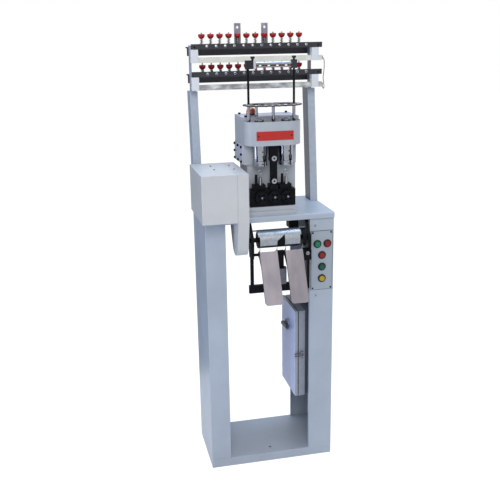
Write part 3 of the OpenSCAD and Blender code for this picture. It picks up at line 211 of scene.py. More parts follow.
# %% [markdown]
# ### Metals
#
# Blackened steel, turned steel, chrome, zinc-dipped sheet and plain stainless all differ mainly in
# how rough they are and which way their scratches run. Stretching noise along one axis draws it out
# into strokes, as a belt grinder does. The shader's own anisotropy would give a similar sheen without
# visible strokes, which is too clean for a used machine. Zinc sheet has flat crystals, which a
# Voronoi pattern gives.

# %% Metals
def blackened(name, colour, rough, metallic, specular, tint=0.22, cloud=60.0, patch=120.0,
              relief=0.02 * MM, grain=700.0):
    """Dark oxide on steel: cloudy near-black with a fine grain, and little shine."""
    f = keep(name, Finish(name, metallic=metallic, specular=specular))
    f.colour_noise(colour, tint, cloud)
    f.rough_noise(*rough, patch)
    f.bump_noise(relief, grain)


def ground(name, colour, rough, strokes, relief=0.006 * MM, tint=0.05):
    """Bare metal whose tone, roughness and relief are noise drawn out along the strokes."""
    f = keep(name, Finish(name, metallic=1.0))
    drawn = f.stretched(strokes)
    f.colour_noise(colour, tint, 1.0, vector=drawn)
    f.rough_noise(*rough, 1.0, vector=drawn)
    f.bump_noise(relief, 1.0, vector=drawn)


BAR_BLACK = (0.10, 0.105, 0.14)
blackened("black_steel", (0.06, 0.065, 0.08), rough=(0.38, 0.55), metallic=0.2, specular=0.08)
blackened("black_bar", BAR_BLACK, rough=(0.36, 0.52), metallic=0.1, specular=0.5)
ground("turned_steel", (0.58, 0.59, 0.62), (0.22, 0.36), strokes=(40.0, 40.0, 1800.0))
ground("spring_steel", (0.36, 0.37, 0.40), (0.28, 0.4), strokes=(300.0, 300.0, 300.0))
ground("plate_steel", (0.13, 0.125, 0.165), (0.25, 0.45), strokes=(60.0, 900.0, 60.0), tint=0.15)
ground("chrome", (0.58, 0.59, 0.62), (0.06, 0.16), strokes=(60.0, 60.0, 300.0),
       relief=0.002 * MM, tint=0.06)
ground("shaft_steel", (0.52, 0.53, 0.55), (0.25, 0.4), strokes=(900.0, 40.0, 40.0))
ground("stainless", (0.53, 0.51, 0.54), (0.26, 0.44), strokes=(14.0, 9.0, 5.0),
       relief=0.04 * MM, tint=0.07)

zinc = keep("zinc_sheet", Finish("zinc_sheet", metallic=0.9))
CRYSTALS_PER_M = 170.0
ZINC_TONES = [(0.15, (0.54, 0.56, 0.58)), (0.85, (0.60, 0.62, 0.65))]
crystals = zinc.node("ShaderNodeTexVoronoi", Vector=zinc.place, Scale=CRYSTALS_PER_M)
zinc.feed("Base Color", zinc.ramp(crystals.outputs["Color"], ZINC_TONES))
zinc.feed("Roughness", zinc.spread(crystals.outputs["Distance"], low=0.30, high=0.46))
zinc.bump_noise(height=0.03 * MM, scale=130.0)
print("paints and metals:", len(finishes))

# %% [markdown]
# ### The two stop-motion tubes
#
# The upper square tube still has its cream paint. The lower one has been handled until the paint is
# mottled grey. Two materials on one mesh would need its faces sorted, and the frame's meshes are left
# as they are. So one finish asks how high the surface is and changes tone between the two tubes.

# %% Tube paint that changes with height
tube_lo, tube_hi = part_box("stop_tubes")
tube = keep("tube_paint", Finish("tube_paint", coat=0.1, coat_rough=0.3))
upper = tube.beyond("Z", (tube_lo.z + tube_hi.z) / 2)
CREAM = [(0.3, (0.76, 0.76, 0.72)), (0.7, (0.84, 0.84, 0.80))]
MOTTLED = [(0.36, (0.52, 0.52, 0.52)), (0.50, (0.68, 0.68, 0.67)), (0.64, (0.82, 0.82, 0.80))]
MOTTLE_STRETCH = (0.5, 1.0, 1.0)
cream = tube.ramp(tube.noise(scale=22.0), CREAM)
mottled = tube.ramp(tube.noise(scale=55.0, detail=5.0, vector=tube.stretched(MOTTLE_STRETCH)), MOTTLED)
tube.feed("Base Color", tube.mixed(upper, mottled, cream))
tube.rough_noise(low=0.35, high=0.6, scale=60.0)
tube.bump_noise(height=0.03 * MM, scale=500.0)
print("tubes from", round(tube_lo.z, 3), "to", round(tube_hi.z, 3))

# %% [markdown]
# ### Pieces of several tones
#
# Some solids are one piece of the frame but show more than one finish: a black shelf hangs from slate
# grey plates, the switch has a grey rose under its dark grip, and the left clamp has a bright inner end.
# Others carry painted light and shade: the inner side of the right creel post and the whole right side
# plate are painted dark as painted shade, the left face of the cabinet's door is painted lighter and
# bluer than its edges as painted light, and the cabinet's case is painted dark behind its front part,
# in the recess by the column, as painted shade. Cutting the meshes up would do it too, but a step across
# a plane in the shader gives each its tones and leaves the pieces whole.


# %% Finishes that change across planes
def toned(name, axis, first, steps, rough, metallic=0.0, tint=0.05, cloud=60.0, patch=120.0,
          relief=0.02 * MM, grain=600.0):
    """The first colour up to the first edge along the axis, then a new colour beyond each edge."""
    f = keep(name, Finish(name, metallic=metallic))
    colour = f.clouds(first, tint, cloud)
    for edge, later in steps:
        colour = f.mixed(f.beyond(axis, edge), colour, f.clouds(later, tint, cloud))
    f.feed("Base Color", colour)
    f.rough_noise(*rough, patch)
    f.bump_noise(relief, grain)


HANGER_Z = 1.52
ROSE_OUT = 6.0 * MM
POST_W = 28.0 * MM
SKIN = 0.6 * MM
CASE_BACK = 38.0 * MM
CLAMP_END_X = -43.0 * MM
BETWEEN_CLAMPS_X = 20.0 * MM
MIDDLE_X = 0.0
GRIP_BLACK = (0.17, 0.17, 0.21)
SATIN = (0.36, 0.5)
door_lo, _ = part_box("cabinet_door")
_, post_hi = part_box("creel_posts")
right_post_x = post_hi.x - POST_W
before = len(finishes)
toned("bar_and_hanger", "Z", BAR_BLACK, [(HANGER_Z, (0.52, 0.52, 0.57))], (0.38, 0.55),
      metallic=0.15, tint=0.1)
toned("grip_and_rose", "X", GRIP_BLACK, [(door_lo.x - ROSE_OUT, (0.60, 0.63, 0.72))], (0.35, 0.5))
toned("clamp_blocks", "X", (0.10, 0.10, 0.12),
      [(CLAMP_END_X, (0.70, 0.70, 0.73)), (BETWEEN_CLAMPS_X, GRIP_BLACK)], (0.3, 0.45), metallic=0.4)
# The right post's inner side, from the middle to its inner face, is painted dark: painted shade.
toned("post_paint_and_shade", "X", STAND_GREY,
      [(MIDDLE_X, (0.29, 0.32, 0.38)), (right_post_x + SKIN, STAND_GREY)], SATIN, tint=0.025)
# The door's left face is painted lighter and bluer than its edges: painted light where the light falls on
# it.
toned("door_paint_and_light", "X", (0.70, 0.745, 0.89), [(door_lo.x + SKIN, (0.56, 0.58, 0.62))], SATIN, tint=0.025)
# The case is painted dark behind its front part: painted shade in the recess by the column.
toned("case_paint_and_shade", "X", (0.52, 0.54, 0.58),
      [(door_lo.x + CASE_BACK + SKIN, (0.34, 0.36, 0.42))], SATIN, tint=0.03)
# The right side plate, beyond the middle, is painted dark: painted shade.
toned("plate_paint_and_shade", "X", (0.58, 0.60, 0.66), [(MIDDLE_X, (0.38, 0.40, 0.44))], SATIN, tint=0.03)
print("finishes of several tones:", len(finishes) - before)

# %% [markdown]
# ### Plastics, ceramic, rubber, enamel
#
# Moulded plastic is even in colour and gets its life from gloss and a very slight waviness. Glazed
# ceramic is white, hard and glossy. The amber lens lets some light through: a glass shader would do
# that truly but show the empty inside, so scattering under the surface stands for it.


# %% Plastics and the rest
def moulded(name, colour, rough=(0.18, 0.30), tint=0.03, relief=0.01 * MM, coat=0.0,
            cloud=120.0, patch=200.0, wave=300.0):
    """Plastic, glaze or rubber: one even colour, a varying gloss and a slight waviness."""
    f = keep(name, Finish(name, coat=coat, coat_rough=0.08, specular=0.3))
    f.colour_noise(colour, tint, cloud)
    f.rough_noise(*rough, patch)
    f.bump_noise(relief, wave)
    return f


moulded("knob_red", (0.64, 0.07, 0.09), rough=(0.22, 0.34), tint=0.06, coat=0.1)
moulded("black_plastic", (0.09, 0.09, 0.10), rough=(0.32, 0.48), tint=0.1)
moulded("ceramic", (0.76, 0.76, 0.77), rough=(0.08, 0.16), tint=0.02, relief=0.004 * MM, coat=0.5)
moulded("green_cap", (0.01, 0.45, 0.31))
moulded("red_cap", (0.49, 0.02, 0.03))
moulded("orange_cap", (0.50, 0.10, 0.06))
moulded("dark_green_cap", (0.02, 0.29, 0.23))
moulded("yellow_cap", (0.65, 0.55, 0.08))
moulded("red_enamel", (0.68, 0.13, 0.12), rough=(0.2, 0.3), coat=0.1)
moulded("belt_rubber", (0.08, 0.08, 0.08), rough=(0.6, 0.75), tint=0.15, relief=0.04 * MM)
moulded("sleeve_plastic", (0.40, 0.41, 0.44), rough=(0.4, 0.5), tint=0.05)
moulded("lead_sheath", (0.13, 0.13, 0.14), rough=(0.4, 0.5), tint=0.08)
amber = moulded("amber_lens", (0.68, 0.24, 0.06), rough=(0.12, 0.2), tint=0.04, coat=0.4)
amber.set("Subsurface Weight", 0.4)
amber.set("Subsurface Scale", 0.01)
amber.set("Subsurface Radius", (1.0, 0.4, 0.1))
print("finishes in all:", len(finishes))

# %% [markdown]
# ## Dressing the solids
#
# No sheet-metal edge is a knife edge: a folded edge has a bend radius, and a sawn one is broken with
# a file. The camera sees that as a thin bright line. A copy of each large solid is merged, its flat
# triangles are dissolved into whole faces, and a Bevel modifier rounds every edge sharper than
# thirty degrees. A Bevel node in the material would only paint that line, while the modifier gives it
# to the shape as well. The copy stands for its node; other nodes keep their own mesh and
# only take a finish.

# %% Which finish each node wears, and how far its edges are rounded (mm, 0 keeps the node's mesh)
wear = {
    "base_tray": ("stand_paint", 0.9), "left_column": ("stand_paint", 0.9),
    "right_column": ("stand_paint", 0.9), "table_top": ("table_paint", 1.2),
    "creel_posts": ("post_paint_and_shade", 0.9), "side_plates": ("plate_paint_and_shade", 0.8),
    "end_blocks": ("block_paint", 0.8), "guide_bars": ("black_bar", 0.6),
    "tension_bars": ("bar_and_hanger", 0.8), "tension_pins": ("turned_steel", 0.0),
    "stop_tubes": ("tube_paint", 0.9), "guide_rods": ("black_steel", 0.5),
    "rod_clamps": ("clamp_blocks", 0.7), "left_thumb_screw": ("black_plastic", 0.4),
    "right_thumb_screw": ("black_plastic", 0.4), "cross_rods": ("chrome", 0.4),
    "guide_plate": ("plate_steel", 0.5), "guide_posts": ("chrome", 0.4),
    "lamp_base": ("black_plastic", 1.0), "head_casting": ("head_paint", 1.2),
    "head_housing": ("head_paint", 1.2), "head_cover": ("side_paint", 1.0),
    "side_cover": ("side_paint", 0.8), "name_plate": ("red_enamel", 0.4),
    "left_cylinder": ("chrome", 0.0), "right_cylinder": ("chrome", 0.0),
    "cylinder_sleeves": ("chrome", 0.4),
    "centre_bracket": ("black_steel", 1.0), "takeup_block": ("black_steel", 1.0),
    "left_gear": ("black_steel", 0.0), "centre_gear": ("black_steel", 0.0),
    "right_gear": ("black_steel", 0.0), "thread_hooks": ("chrome", 0.0),
    "motor_box": ("box_paint", 1.4), "belt_guard": ("box_paint", 1.0),
    "motor": ("motor_paint", 0.0), "drive_shaft": ("shaft_steel", 0.0),
    "drive_belt": ("belt_rubber", 0.0), "takedown_drum": ("black_steel", 0.5),
    "drum_hood": ("zinc_sheet", 0.3), "left_chute": ("stainless", 0.4),
    "right_chute": ("stainless", 0.4), "takedown_frame": ("black_steel", 1.0),
    "control_panel": ("panel_paint", 0.5), "button_bezels": ("black_plastic", 0.4),
    "start_button": ("green_cap", 1.2), "stop_button": ("red_cap", 1.2),
    "reset_button": ("orange_cap", 1.2), "run_button": ("dark_green_cap", 1.2),
    "jog_button": ("yellow_cap", 1.2), "cabinet_body": ("case_paint_and_shade", 0.5),
    "cabinet_door": ("door_paint_and_light", 0.6), "switch_handle": ("grip_and_rose", 1.4),
    "door_latch": ("spring_steel", 0.5), "socket_screws": ("black_steel", 0.3),
}
print("nodes with a finish of their own:", len(wear))

# %% Rounded copies
SHARP = math.radians(30)
FLAT = math.radians(0.5)
BEVEL_STEPS = 2
WELD = 0.002 * MM


def wear_finish(obj, name):
    obj.data.materials.clear()
    obj.data.materials.append(finishes[name])


def soft_edged(node, radius):
    """A merged copy of a node with its flat faces joined and its sharp edges rounded."""
    work = bmesh.new()
    work.from_mesh(nodes[node].data)
    bmesh.ops.remove_doubles(work, verts=work.verts, dist=WELD)
    bmesh.ops.dissolve_limit(work, angle_limit=FLAT, verts=work.verts, edges=work.edges)
    mesh = bpy.data.meshes.new(node + "_dressed")
    work.to_mesh(mesh)
    work.free()
    mesh.shade_smooth()
    mesh.set_sharp_from_angle(angle=SHARP)
    made = bpy.data.objects.new(node + "_dressed", mesh)
    bpy.context.scene.collection.objects.link(made)
    edge = made.modifiers.new("broken_edges", "BEVEL")
    edge.width = radius
    edge.segments = BEVEL_STEPS
    edge.limit_method = "ANGLE"
    edge.angle_limit = SHARP
    edge.harden_normals = True
    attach(made, body_of_node[node])
    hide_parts(node)
    return made


rounded = 0
for node, (finish, radius) in wear.items():
    target = nodes[node]
    if radius:
        target = soft_edged(node, radius * MM)
        rounded += 1
    wear_finish(target, finish)
print("solids with rounded edges:", rounded, "of", len(wear))

# %% [markdown]
# ## Surfaces from arrays
#
# Turned pieces are profiles spun about an axis, and springs are circles carried along a path. Both
# give a grid of points: rows along the profile or path, columns round it. One helper turns a stack
# of such grids into a mesh, another spins a profile, and a third lays a shape that was drawn on the
# Z axis along any axis at any place.


# %% Grid helpers
CREASE = math.radians(40)
GRID_WELD = 0.0005 * MM


def grid_object(name, grids, finish, body):
    """One mesh from an array (copies, rows, columns, 3). The columns close on themselves, so point c
    of row r is joined with point c + 1, counted round, and with the same two points of row r + 1."""
    copies, rows, cols, _ = grids.shape
    r = np.arange(rows - 1)
    c = np.arange(cols)
    base = np.arange(copies)[:, None, None] * rows * cols
    here = base + r[None, :, None] * cols
    there = here + cols
    nxt = (c + 1) % cols
    quads = np.stack([here + c, here + nxt, there + nxt, there + c], -1).reshape(-1, 4)
    mesh = bpy.data.meshes.new(name)
    mesh.from_pydata(grids.reshape(-1, 3).tolist(), [], quads.tolist())
    work = bmesh.new()
    work.from_mesh(mesh)
    bmesh.ops.remove_doubles(work, verts=work.verts, dist=GRID_WELD)
    bmesh.ops.recalc_face_normals(work, faces=work.faces)
    work.to_mesh(mesh)
    work.free()
    mesh.shade_smooth()
    mesh.set_sharp_from_angle(angle=CREASE)
    made = bpy.data.objects.new(name, mesh)
    bpy.context.scene.collection.objects.link(made)
    wear_finish(made, finish)
    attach(made, body)
    print(name, "copies:", copies, "faces:", len(mesh.polygons))
    return made


def spun(profile, columns, lobes=None):
    """Profile (radius, height) pairs in mm, spun about Z: x = r cos a, y = r sin a. Where lobes is
    given it is a function of (row, angle) that multiplies the radius, for flutes and hexagons."""
    p = np.asarray(profile, float) * MM
    a = np.arange(columns) * 2 * math.pi / columns
    radius = p[:, :1] * np.ones_like(a)
    if lobes is not None:
        radius = radius * lobes(np.arange(len(p))[:, None], a[None, :])
    return np.stack([radius * np.cos(a), radius * np.sin(a), p[:, 1:] + 0 * a], -1)


UP, FRONT, LEFT, RIGHT = (0, 0, 1), (0, -1, 0), (-1, 0, 0), (1, 0, 0)


def laid(shape, places, axis):
    """Copies of a shape drawn about Z, turned so that Z points along axis, one at each place. The new
    X is square to the axis and to Y, or to X where the axis itself runs along Y."""
    w = np.asarray(axis, float)
    u = np.cross([1.0, 0.0, 0.0] if axis == FRONT else [0.0, 1.0, 0.0], w)
    turned = shape @ np.stack([u, np.cross(w, u), w])
    return np.asarray(places, float)[:, None, None, :] + turned[None]


# %% [markdown]
# ## The thread tensioners
#
# Each thread place of the creel has an upright pin, a conical wire spring and a red knob that presses
# the spring on the thread. The knob is a turned mushroom with a finely fluted rim; the spring is a
# circle carried up a helix whose radius shrinks towards the knob. A Screw modifier could wind the
# spring and an Array could repeat it, but an array of points does both in a few lines and puts each
# copy exactly on its pin. The pins' box gives the two rows.

# %% Where the tensioners stand
THREADS = 12
WASHER_R = 7.0 * MM
PIN_ABOVE = 47.0 * MM
PIN_BELOW = 8.0 * MM
SPRING_H = np.array([14.5, 26.5]) * MM
pin_lo, pin_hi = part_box("tension_pins")
pin_x = np.linspace(pin_lo.x + WASHER_R, pin_hi.x - WASHER_R, THREADS)
pin_y = (pin_lo.y + pin_hi.y) / 2
tiers = [pin_lo.z + PIN_BELOW, pin_hi.z - PIN_ABOVE]
seats = np.array([[[x, pin_y, z] for x in pin_x] for z in tiers])
knob_seats = (seats + np.array([[[0, 0, h]] for h in SPRING_H])).reshape(-1, 3)
print("tensioners:", len(knob_seats), "first at", np.round(seats[0, 0], 4))

# %% Fluted knobs
KNOB_FLUTES = 24
KNOB_COLUMNS = 96
FLUTE_DEPTH = 0.035
knob_profile = [(2.6, 0.0), (5.0, 0.0), (6.0, 0.5), (7.6, 2.2), (9.6, 4.4), (11.0, 6.6),
                (11.5, 8.4), (11.6, 10.0), (11.6, 13.4), (11.3, 14.8), (10.4, 15.8), (7.0, 16.3),
                (4.4, 16.4), (2.6, 16.4), (2.6, 0.0)]
RIM_ROWS = (6, 9)


def rim_flutes(row, angle):
    """Radius times 1 - depth (1 - cos(n a)) / 2 on the rim's rows, and unchanged elsewhere."""
    on_rim = (row >= RIM_ROWS[0]) & (row <= RIM_ROWS[1])
    return 1 - on_rim * FLUTE_DEPTH / 2 * (1 - np.cos(KNOB_FLUTES * angle))


knob = spun(knob_profile, KNOB_COLUMNS, rim_flutes)
knobs = grid_object("fluted_knobs", laid(knob, knob_seats, UP), "knob_red", "machine")
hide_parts("tension_knobs")

# %% Conical springs
SPRING_TURNS = 4.5
SPRING_WIRE = 0.65 * MM
SPRING_R = (6.3 * MM, 5.2 * MM)
SPRING_FOOT = 2.7 * MM
SPRING_POINTS = 110
SPRING_SIDES = 7
LEAN = (0.13, 0.21, 1.0)


def wire_tube(path, radius, sides):
    """A circle of the given radius carried along a path (n, 3), square to it at every point. Its
    first direction is square to the path and to LEAN, along which no path here runs."""
    along = np.gradient(path, axis=0)
    along /= np.linalg.norm(along, axis=1, keepdims=True)
    side = np.cross(along, LEAN)
    side /= np.linalg.norm(side, axis=1, keepdims=True)
    up = np.cross(side, along)
    a = np.arange(sides) * 2 * math.pi / sides
    ring = np.cos(a)[None, :, None] * side[:, None] + np.sin(a)[None, :, None] * up[:, None]
    tube_rows = path[:, None] + radius * ring
    return np.concatenate([path[:1, None] + 0 * ring[:1], tube_rows, path[-1:, None] + 0 * ring[-1:]])


t = np.linspace(0, 1, SPRING_POINTS)
turn = t * SPRING_TURNS * 2 * math.pi
coil_r = SPRING_R[0] + (SPRING_R[1] - SPRING_R[0]) * t
coils = []
for row, height in zip(seats, SPRING_H):
    rise = SPRING_FOOT + (height - SPRING_WIRE - SPRING_FOOT) * t
    coil = np.stack([coil_r * np.cos(turn), coil_r * np.sin(turn), rise], -1)
    coils.append(laid(wire_tube(coil, SPRING_WIRE, SPRING_SIDES), row, UP))
springs = grid_object("tension_coils", np.concatenate(coils), "spring_steel", "machine")
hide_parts("tension_springs")

# %% [markdown]
# ## Ceramic eyes
#
# Threads saw through steel, so every place a thread rubs has a glazed ceramic eye: one per thread in
# the two black bars, and one in each thread hole of the guide plate above the head. Each is a closed
# ring with a rounded lip. Torus primitives would do for the lips but not for the necks that sit in
# the holes, so a small profile is spun, and all eyes of a kind are one mesh.

# %% Eyes of the two guide bars
EYE_R = 6.0 * MM
EYE_DEEP, EYE_MID, EYE_LIP = 4.0, 4.0, 0.45
EYE_COLUMNS = 32
bar_lo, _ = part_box("guide_bars")
eye_lo, eye_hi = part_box("guide_eyelets")
eye_x = np.linspace(eye_lo.x + EYE_R, eye_hi.x - EYE_R, THREADS)
eye_places = np.array([[x, bar_lo.y, z] for z in (eye_lo.z + EYE_R, eye_hi.z - EYE_R) for x in eye_x])
LIP_POINTS = 9
lip = np.linspace(-0.5, 1.0, LIP_POINTS) * math.pi
lip_profile = [(EYE_MID + EYE_LIP, -EYE_DEEP), (EYE_MID + EYE_LIP, 0.0), (EYE_MID, 0.0)]
lip_profile += [(EYE_MID + EYE_LIP * math.cos(x), EYE_LIP * (1 + math.sin(x))) for x in lip[1:]]
lip_profile += [(EYE_MID - EYE_LIP, -EYE_DEEP), (EYE_MID + EYE_LIP, -EYE_DEEP)]
eye = spun(lip_profile, EYE_COLUMNS)
eyes = grid_object("ceramic_eyes", laid(eye, eye_places, FRONT), "ceramic", "machine")
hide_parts("guide_eyelets")

# %% Eyes of the guide plate
plate_lo, plate_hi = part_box("guide_plate")
plate_mid = (np.array(plate_lo) + np.array(plate_hi)) / 2
PLATE_RIM = 13.0 * MM
ring_r = (plate_hi.y - plate_lo.y) / 2 - PLATE_RIM
straight = (plate_hi.x - plate_lo.x - (plate_hi.y - plate_lo.y)) / 2
END_ANGLES = np.radians([-60, -20, 20, 60])
ROW_SHARE = 0.8
ROW_STEPS = np.linspace(-ROW_SHARE, ROW_SHARE, len(END_ANGLES))
GROMMET_COLUMNS = 28
plate_places = []
for s in (-1, 1):
    for step in ROW_STEPS:
        plate_places.append((plate_mid[0] + straight * step, plate_mid[1] + s * ring_r, plate_mid[2]))
    for a in END_ANGLES:
        plate_places.append((plate_mid[0] + s * (straight + ring_r * math.cos(a)),
                             plate_mid[1] + ring_r * math.sin(a), plate_mid[2]))
half_t = (plate_hi.z - plate_lo.z) / 2 / MM
over_plate = [(4.05, half_t + 0.05), (6.0, half_t + 0.05), (5.6, half_t + 1.4), (4.0, half_t + 1.9),
              (2.2, half_t + 1.2)]
under_plate = [(r, -z) for r, z in reversed(over_plate)]
grommet = spun(under_plate + over_plate + under_plate[:1], GROMMET_COLUMNS)
plate_eyes = grid_object("plate_eyes", laid(grommet, plate_places, UP), "ceramic", "machine")

# %% [markdown]
# ## The lamp
#
# The amber signal lamp on top of the head has a short fluted skirt and a round crown. Vertical ribs
# scatter the light of a real lamp. Displacement could raise them from a picture; a cosine on the
# radius of the lower rows needs far fewer faces.

# %% Ribbed lens
lamp_lo, lamp_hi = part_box("lamp_dome")
lamp_mid = [(lamp_lo.x + lamp_hi.x) / 2, (lamp_lo.y + lamp_hi.y) / 2, lamp_lo.z]
LAMP_R = 16.0
LAMP_FOOT = 0.8
LAMP_SKIRT = 6.5
LAMP_TOP = 20.5
LAMP_RIBS = 30
LAMP_COLUMNS = 120
RIB_DEPTH = 0.024
RIB_ROWS = (2, 7)
CROWN_POINTS = 12
crown = np.linspace(0, 0.5, CROWN_POINTS) * math.pi
lens_profile = [(0.0, 0.0), (LAMP_R, 0.0), (LAMP_R, LAMP_FOOT), (LAMP_R, LAMP_SKIRT / 2)]
lens_profile += [(LAMP_R * math.cos(x), LAMP_SKIRT + (LAMP_TOP - LAMP_SKIRT) * math.sin(x)) for x in crown]


def lens_ribs(row, angle):
    """Radius times 1 - depth (1 - cos(n a)) / 2 on the skirt and the lowest rows of the crown."""
    ribbed = (row >= RIB_ROWS[0]) & (row <= RIB_ROWS[1])
    return 1 - ribbed * RIB_DEPTH / 2 * (1 - np.cos(LAMP_RIBS * angle))


lens_shape = spun(lens_profile, LAMP_COLUMNS, lens_ribs)
lens = grid_object("lamp_lens", laid(lens_shape, [lamp_mid], UP), "amber_lens", "machine")
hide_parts("lamp_dome")

# %% [markdown]
# ## Screws
#
# A button-head screw is a low dome with a hexagon pressed into it. A Boolean could cut the hexagon,
# but it leaves long thin faces. The hexagon's edge at an angle a lies at r / cos(a folded into one
# sixth of a turn), so the recess is the same spun grid with that factor on its inner rows. The screws
# hold the motor box's lid, the panel and the column's front, and a thin black gasket round the panel
# stands in for the shadow line at its edges too, as painted shade.


# %% Button-head screws
SIXTH = math.pi / 3
SCREW_COLUMNS = 36
SCREW_SINK = 0.3
RISE_SHARE, RIM_SHARE = 0.32, 0.25
KEY_SHARE, KEY_FLOOR_SHARE = 0.24, 0.35
DOME_SHARE, DOME_ROWS = 0.42, 5


def hexagon(angle):
    """Distance of a hexagon's edge from its middle, with its flats at distance one."""
    return 1 / np.cos((angle + SIXTH / 2) % SIXTH - SIXTH / 2)


def button_head(d):
    """A domed head of diameter d in mm on the Z axis, seated at height 0, with a hexagon recess: a
    quarter of its height is a straight rim, and the dome above it rises with the sine."""
    r, h, key = d / 2, d * RISE_SHARE, d * KEY_SHARE
    rim = h * RIM_SHARE
    dome = np.linspace(0.0, DOME_SHARE, DOME_ROWS)[1:-1] * math.pi
    rows = [(0.0, -SCREW_SINK), (r, -SCREW_SINK), (r, rim)]
    rows += [(r * math.cos(x), rim + (h - rim) * math.sin(x)) for x in dome]
    first = len(rows)
    rows += [(key, h), (key, h * KEY_FLOOR_SHARE), (0.0, h * KEY_FLOOR_SHARE)]
    return spun(rows, SCREW_COLUMNS, lambda row, a: np.where(row >= first, hexagon(a), 1.0))


def screws(name, d, places, axis, finish, body="machine"):
    """Button-head screws of one size as one piece."""
    made = grid_object(name, laid(button_head(d), places, axis), finish, body)


# %% Screws of the lid and the panel
_, box_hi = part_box("motor_box")
LID_SCREW_D, PANEL_SCREW_D = 7.0, 6.5
LID_SCREWS = ((-0.185, -0.017), (-0.185, -0.092), (-0.1205, -0.022), (-0.118, -0.099))
lid_places = [(x, y, box_hi.z) for x, y in LID_SCREWS]
screws("lid_screws", LID_SCREW_D, lid_places, UP, "spring_steel")

panel_lo, panel_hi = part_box("control_panel")
SCREW_IN = 5.5 * MM
panel_places = [(x, panel_lo.y, z) for x in (panel_lo.x + SCREW_IN, panel_hi.x - SCREW_IN)
                for z in (panel_lo.z + SCREW_IN, panel_hi.z - SCREW_IN)]
screws("panel_screws", PANEL_SCREW_D, panel_places, FRONT, "black_steel")

# %% Gasket round the panel, also its painted shadow line
GASKET_W, GASKET_T = 1.3 * MM, 1.0 * MM
middle = np.array([(panel_lo.x + panel_hi.x) / 2, 0, (panel_lo.z + panel_hi.z) / 2])
half_w, half_h = (panel_hi.x - panel_lo.x) / 2, (panel_hi.z - panel_lo.z) / 2
SQUARE = np.array([(-1, -1), (1, -1), (1, 1), (-1, 1)])
section = [(0.0, 0.0), (GASKET_W, 0.0), (GASKET_W, GASKET_T), (0.0, GASKET_T), (0.0, 0.0)]
gasket_rows = [np.stack([SQUARE[:, 0] * (half_w + out), np.full(len(SQUARE), panel_hi.y - fore),
                         SQUARE[:, 1] * (half_h + out)], -1) + middle for out, fore in section]
# This black strip round the panel also stands for the shadow line at its edges: painted shade.
gasket = grid_object("panel_gasket_and_shade_line", np.stack(gasket_rows)[None], "black_plastic", "machine")

# %% Screws of the column
COLUMN_SCREW_D = 8.0
column_lo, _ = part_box("right_column")
COLUMN_SCREWS = ((0.1615, 0.907), (0.165, 0.647))
column_places = [(x, column_lo.y, z) for x, z in COLUMN_SCREWS]
screws("column_screws", COLUMN_SCREW_D, column_places, FRONT, "turned_steel")

# %% [markdown]
# ## Fasteners of the head and the take-down
#
# Two black screws hold each polished sleeve, a bright bolt closes the hub of each take-up gear and
# turns with it, and a bright nut sits on the lug of the take-down frame. The nut is a hexagon with
# its corners turned off, on the same spun grid as the screws. All are too small to be solids of their
# own, so they are made here, most of them from the boxes of the pieces that carry them.

# %% Sleeve screws and gear bolts
SLEEVE_R = 23.9 * MM
SLEEVE_SIDE = 4.5 * MM
SLEEVE_SCREW_Z = (1.131, 1.173)
sleeve_places = []
for node in ("left_cylinder", "right_cylinder"):
    lo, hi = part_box(node)
    front = (lo.y + hi.y) / 2 - math.sqrt(SLEEVE_R ** 2 - SLEEVE_SIDE ** 2)
    sleeve_places += [((lo.x + hi.x) / 2 + SLEEVE_SIDE, front, z) for z in SLEEVE_SCREW_Z]
SLEEVE_SCREW_D, GEAR_BOLT_D = 5.0, 8.0
screws("sleeve_screws", SLEEVE_SCREW_D, sleeve_places, FRONT, "black_steel")
for node in ("left_gear", "centre_gear", "right_gear"):
    lo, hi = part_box(node)
    hub = ((lo.x + hi.x) / 2, lo.y, (lo.z + hi.z) / 2)
    screws(node + "_bolt", GEAR_BOLT_D, [hub], FRONT, "turned_steel", body_of_node[node])

# %% Nut on the lug, screws at the bar ends and in the door
NUT_BORE, NUT_FACE_R, NUT_R, NUT_H, NUT_CHAMFER = 2.6, 5.6, 6.0, 5.5, 0.5
LUG_NUT = (0.121, -0.172, 0.822)
nut_rows = [(NUT_BORE, 0.0), (NUT_FACE_R, 0.0), (NUT_R, NUT_CHAMFER), (NUT_R, NUT_H - NUT_CHAMFER),
            (NUT_FACE_R, NUT_H), (NUT_BORE, NUT_H), (NUT_BORE, 0.0)]
last_outside = len(nut_rows) - 3
nut = spun(nut_rows, SCREW_COLUMNS,
           lambda row, a: np.where((row > 0) & (row <= last_outside), hexagon(a), 1.0))
lug_nut = grid_object("lug_nut", laid(nut, [LUG_NUT], FRONT), "turned_steel", "machine")
BAR_SCREW_D, DOOR_SCREW_D = 6.0, 6.0
BAR_SCREWS = ((-0.2145, 1.515), (0.228, 1.515), (0.229, 1.422))
bar_places = [(x, bar_lo.y, z) for x, z in BAR_SCREWS]
screws("bar_screws", BAR_SCREW_D, bar_places, FRONT, "black_steel")
DOOR_SCREW = (-0.021, 0.483)
door_places = [(door_lo.x, *DOOR_SCREW)]
screws("door_screw", DOOR_SCREW_D, door_places, LEFT, "turned_steel", body_of_node["cabinet_door"])

# %% [markdown]
# ## Sleeve of the spacer and caps of the tubes
#
# The spacer under the chute rail wears a grey sleeve, a thin closed ring, and the right ends of the
# two square tubes are closed with small round caps where the lead goes in. Cylinder primitives would
# have sharp rims; spun profiles carry their broken edges with them.

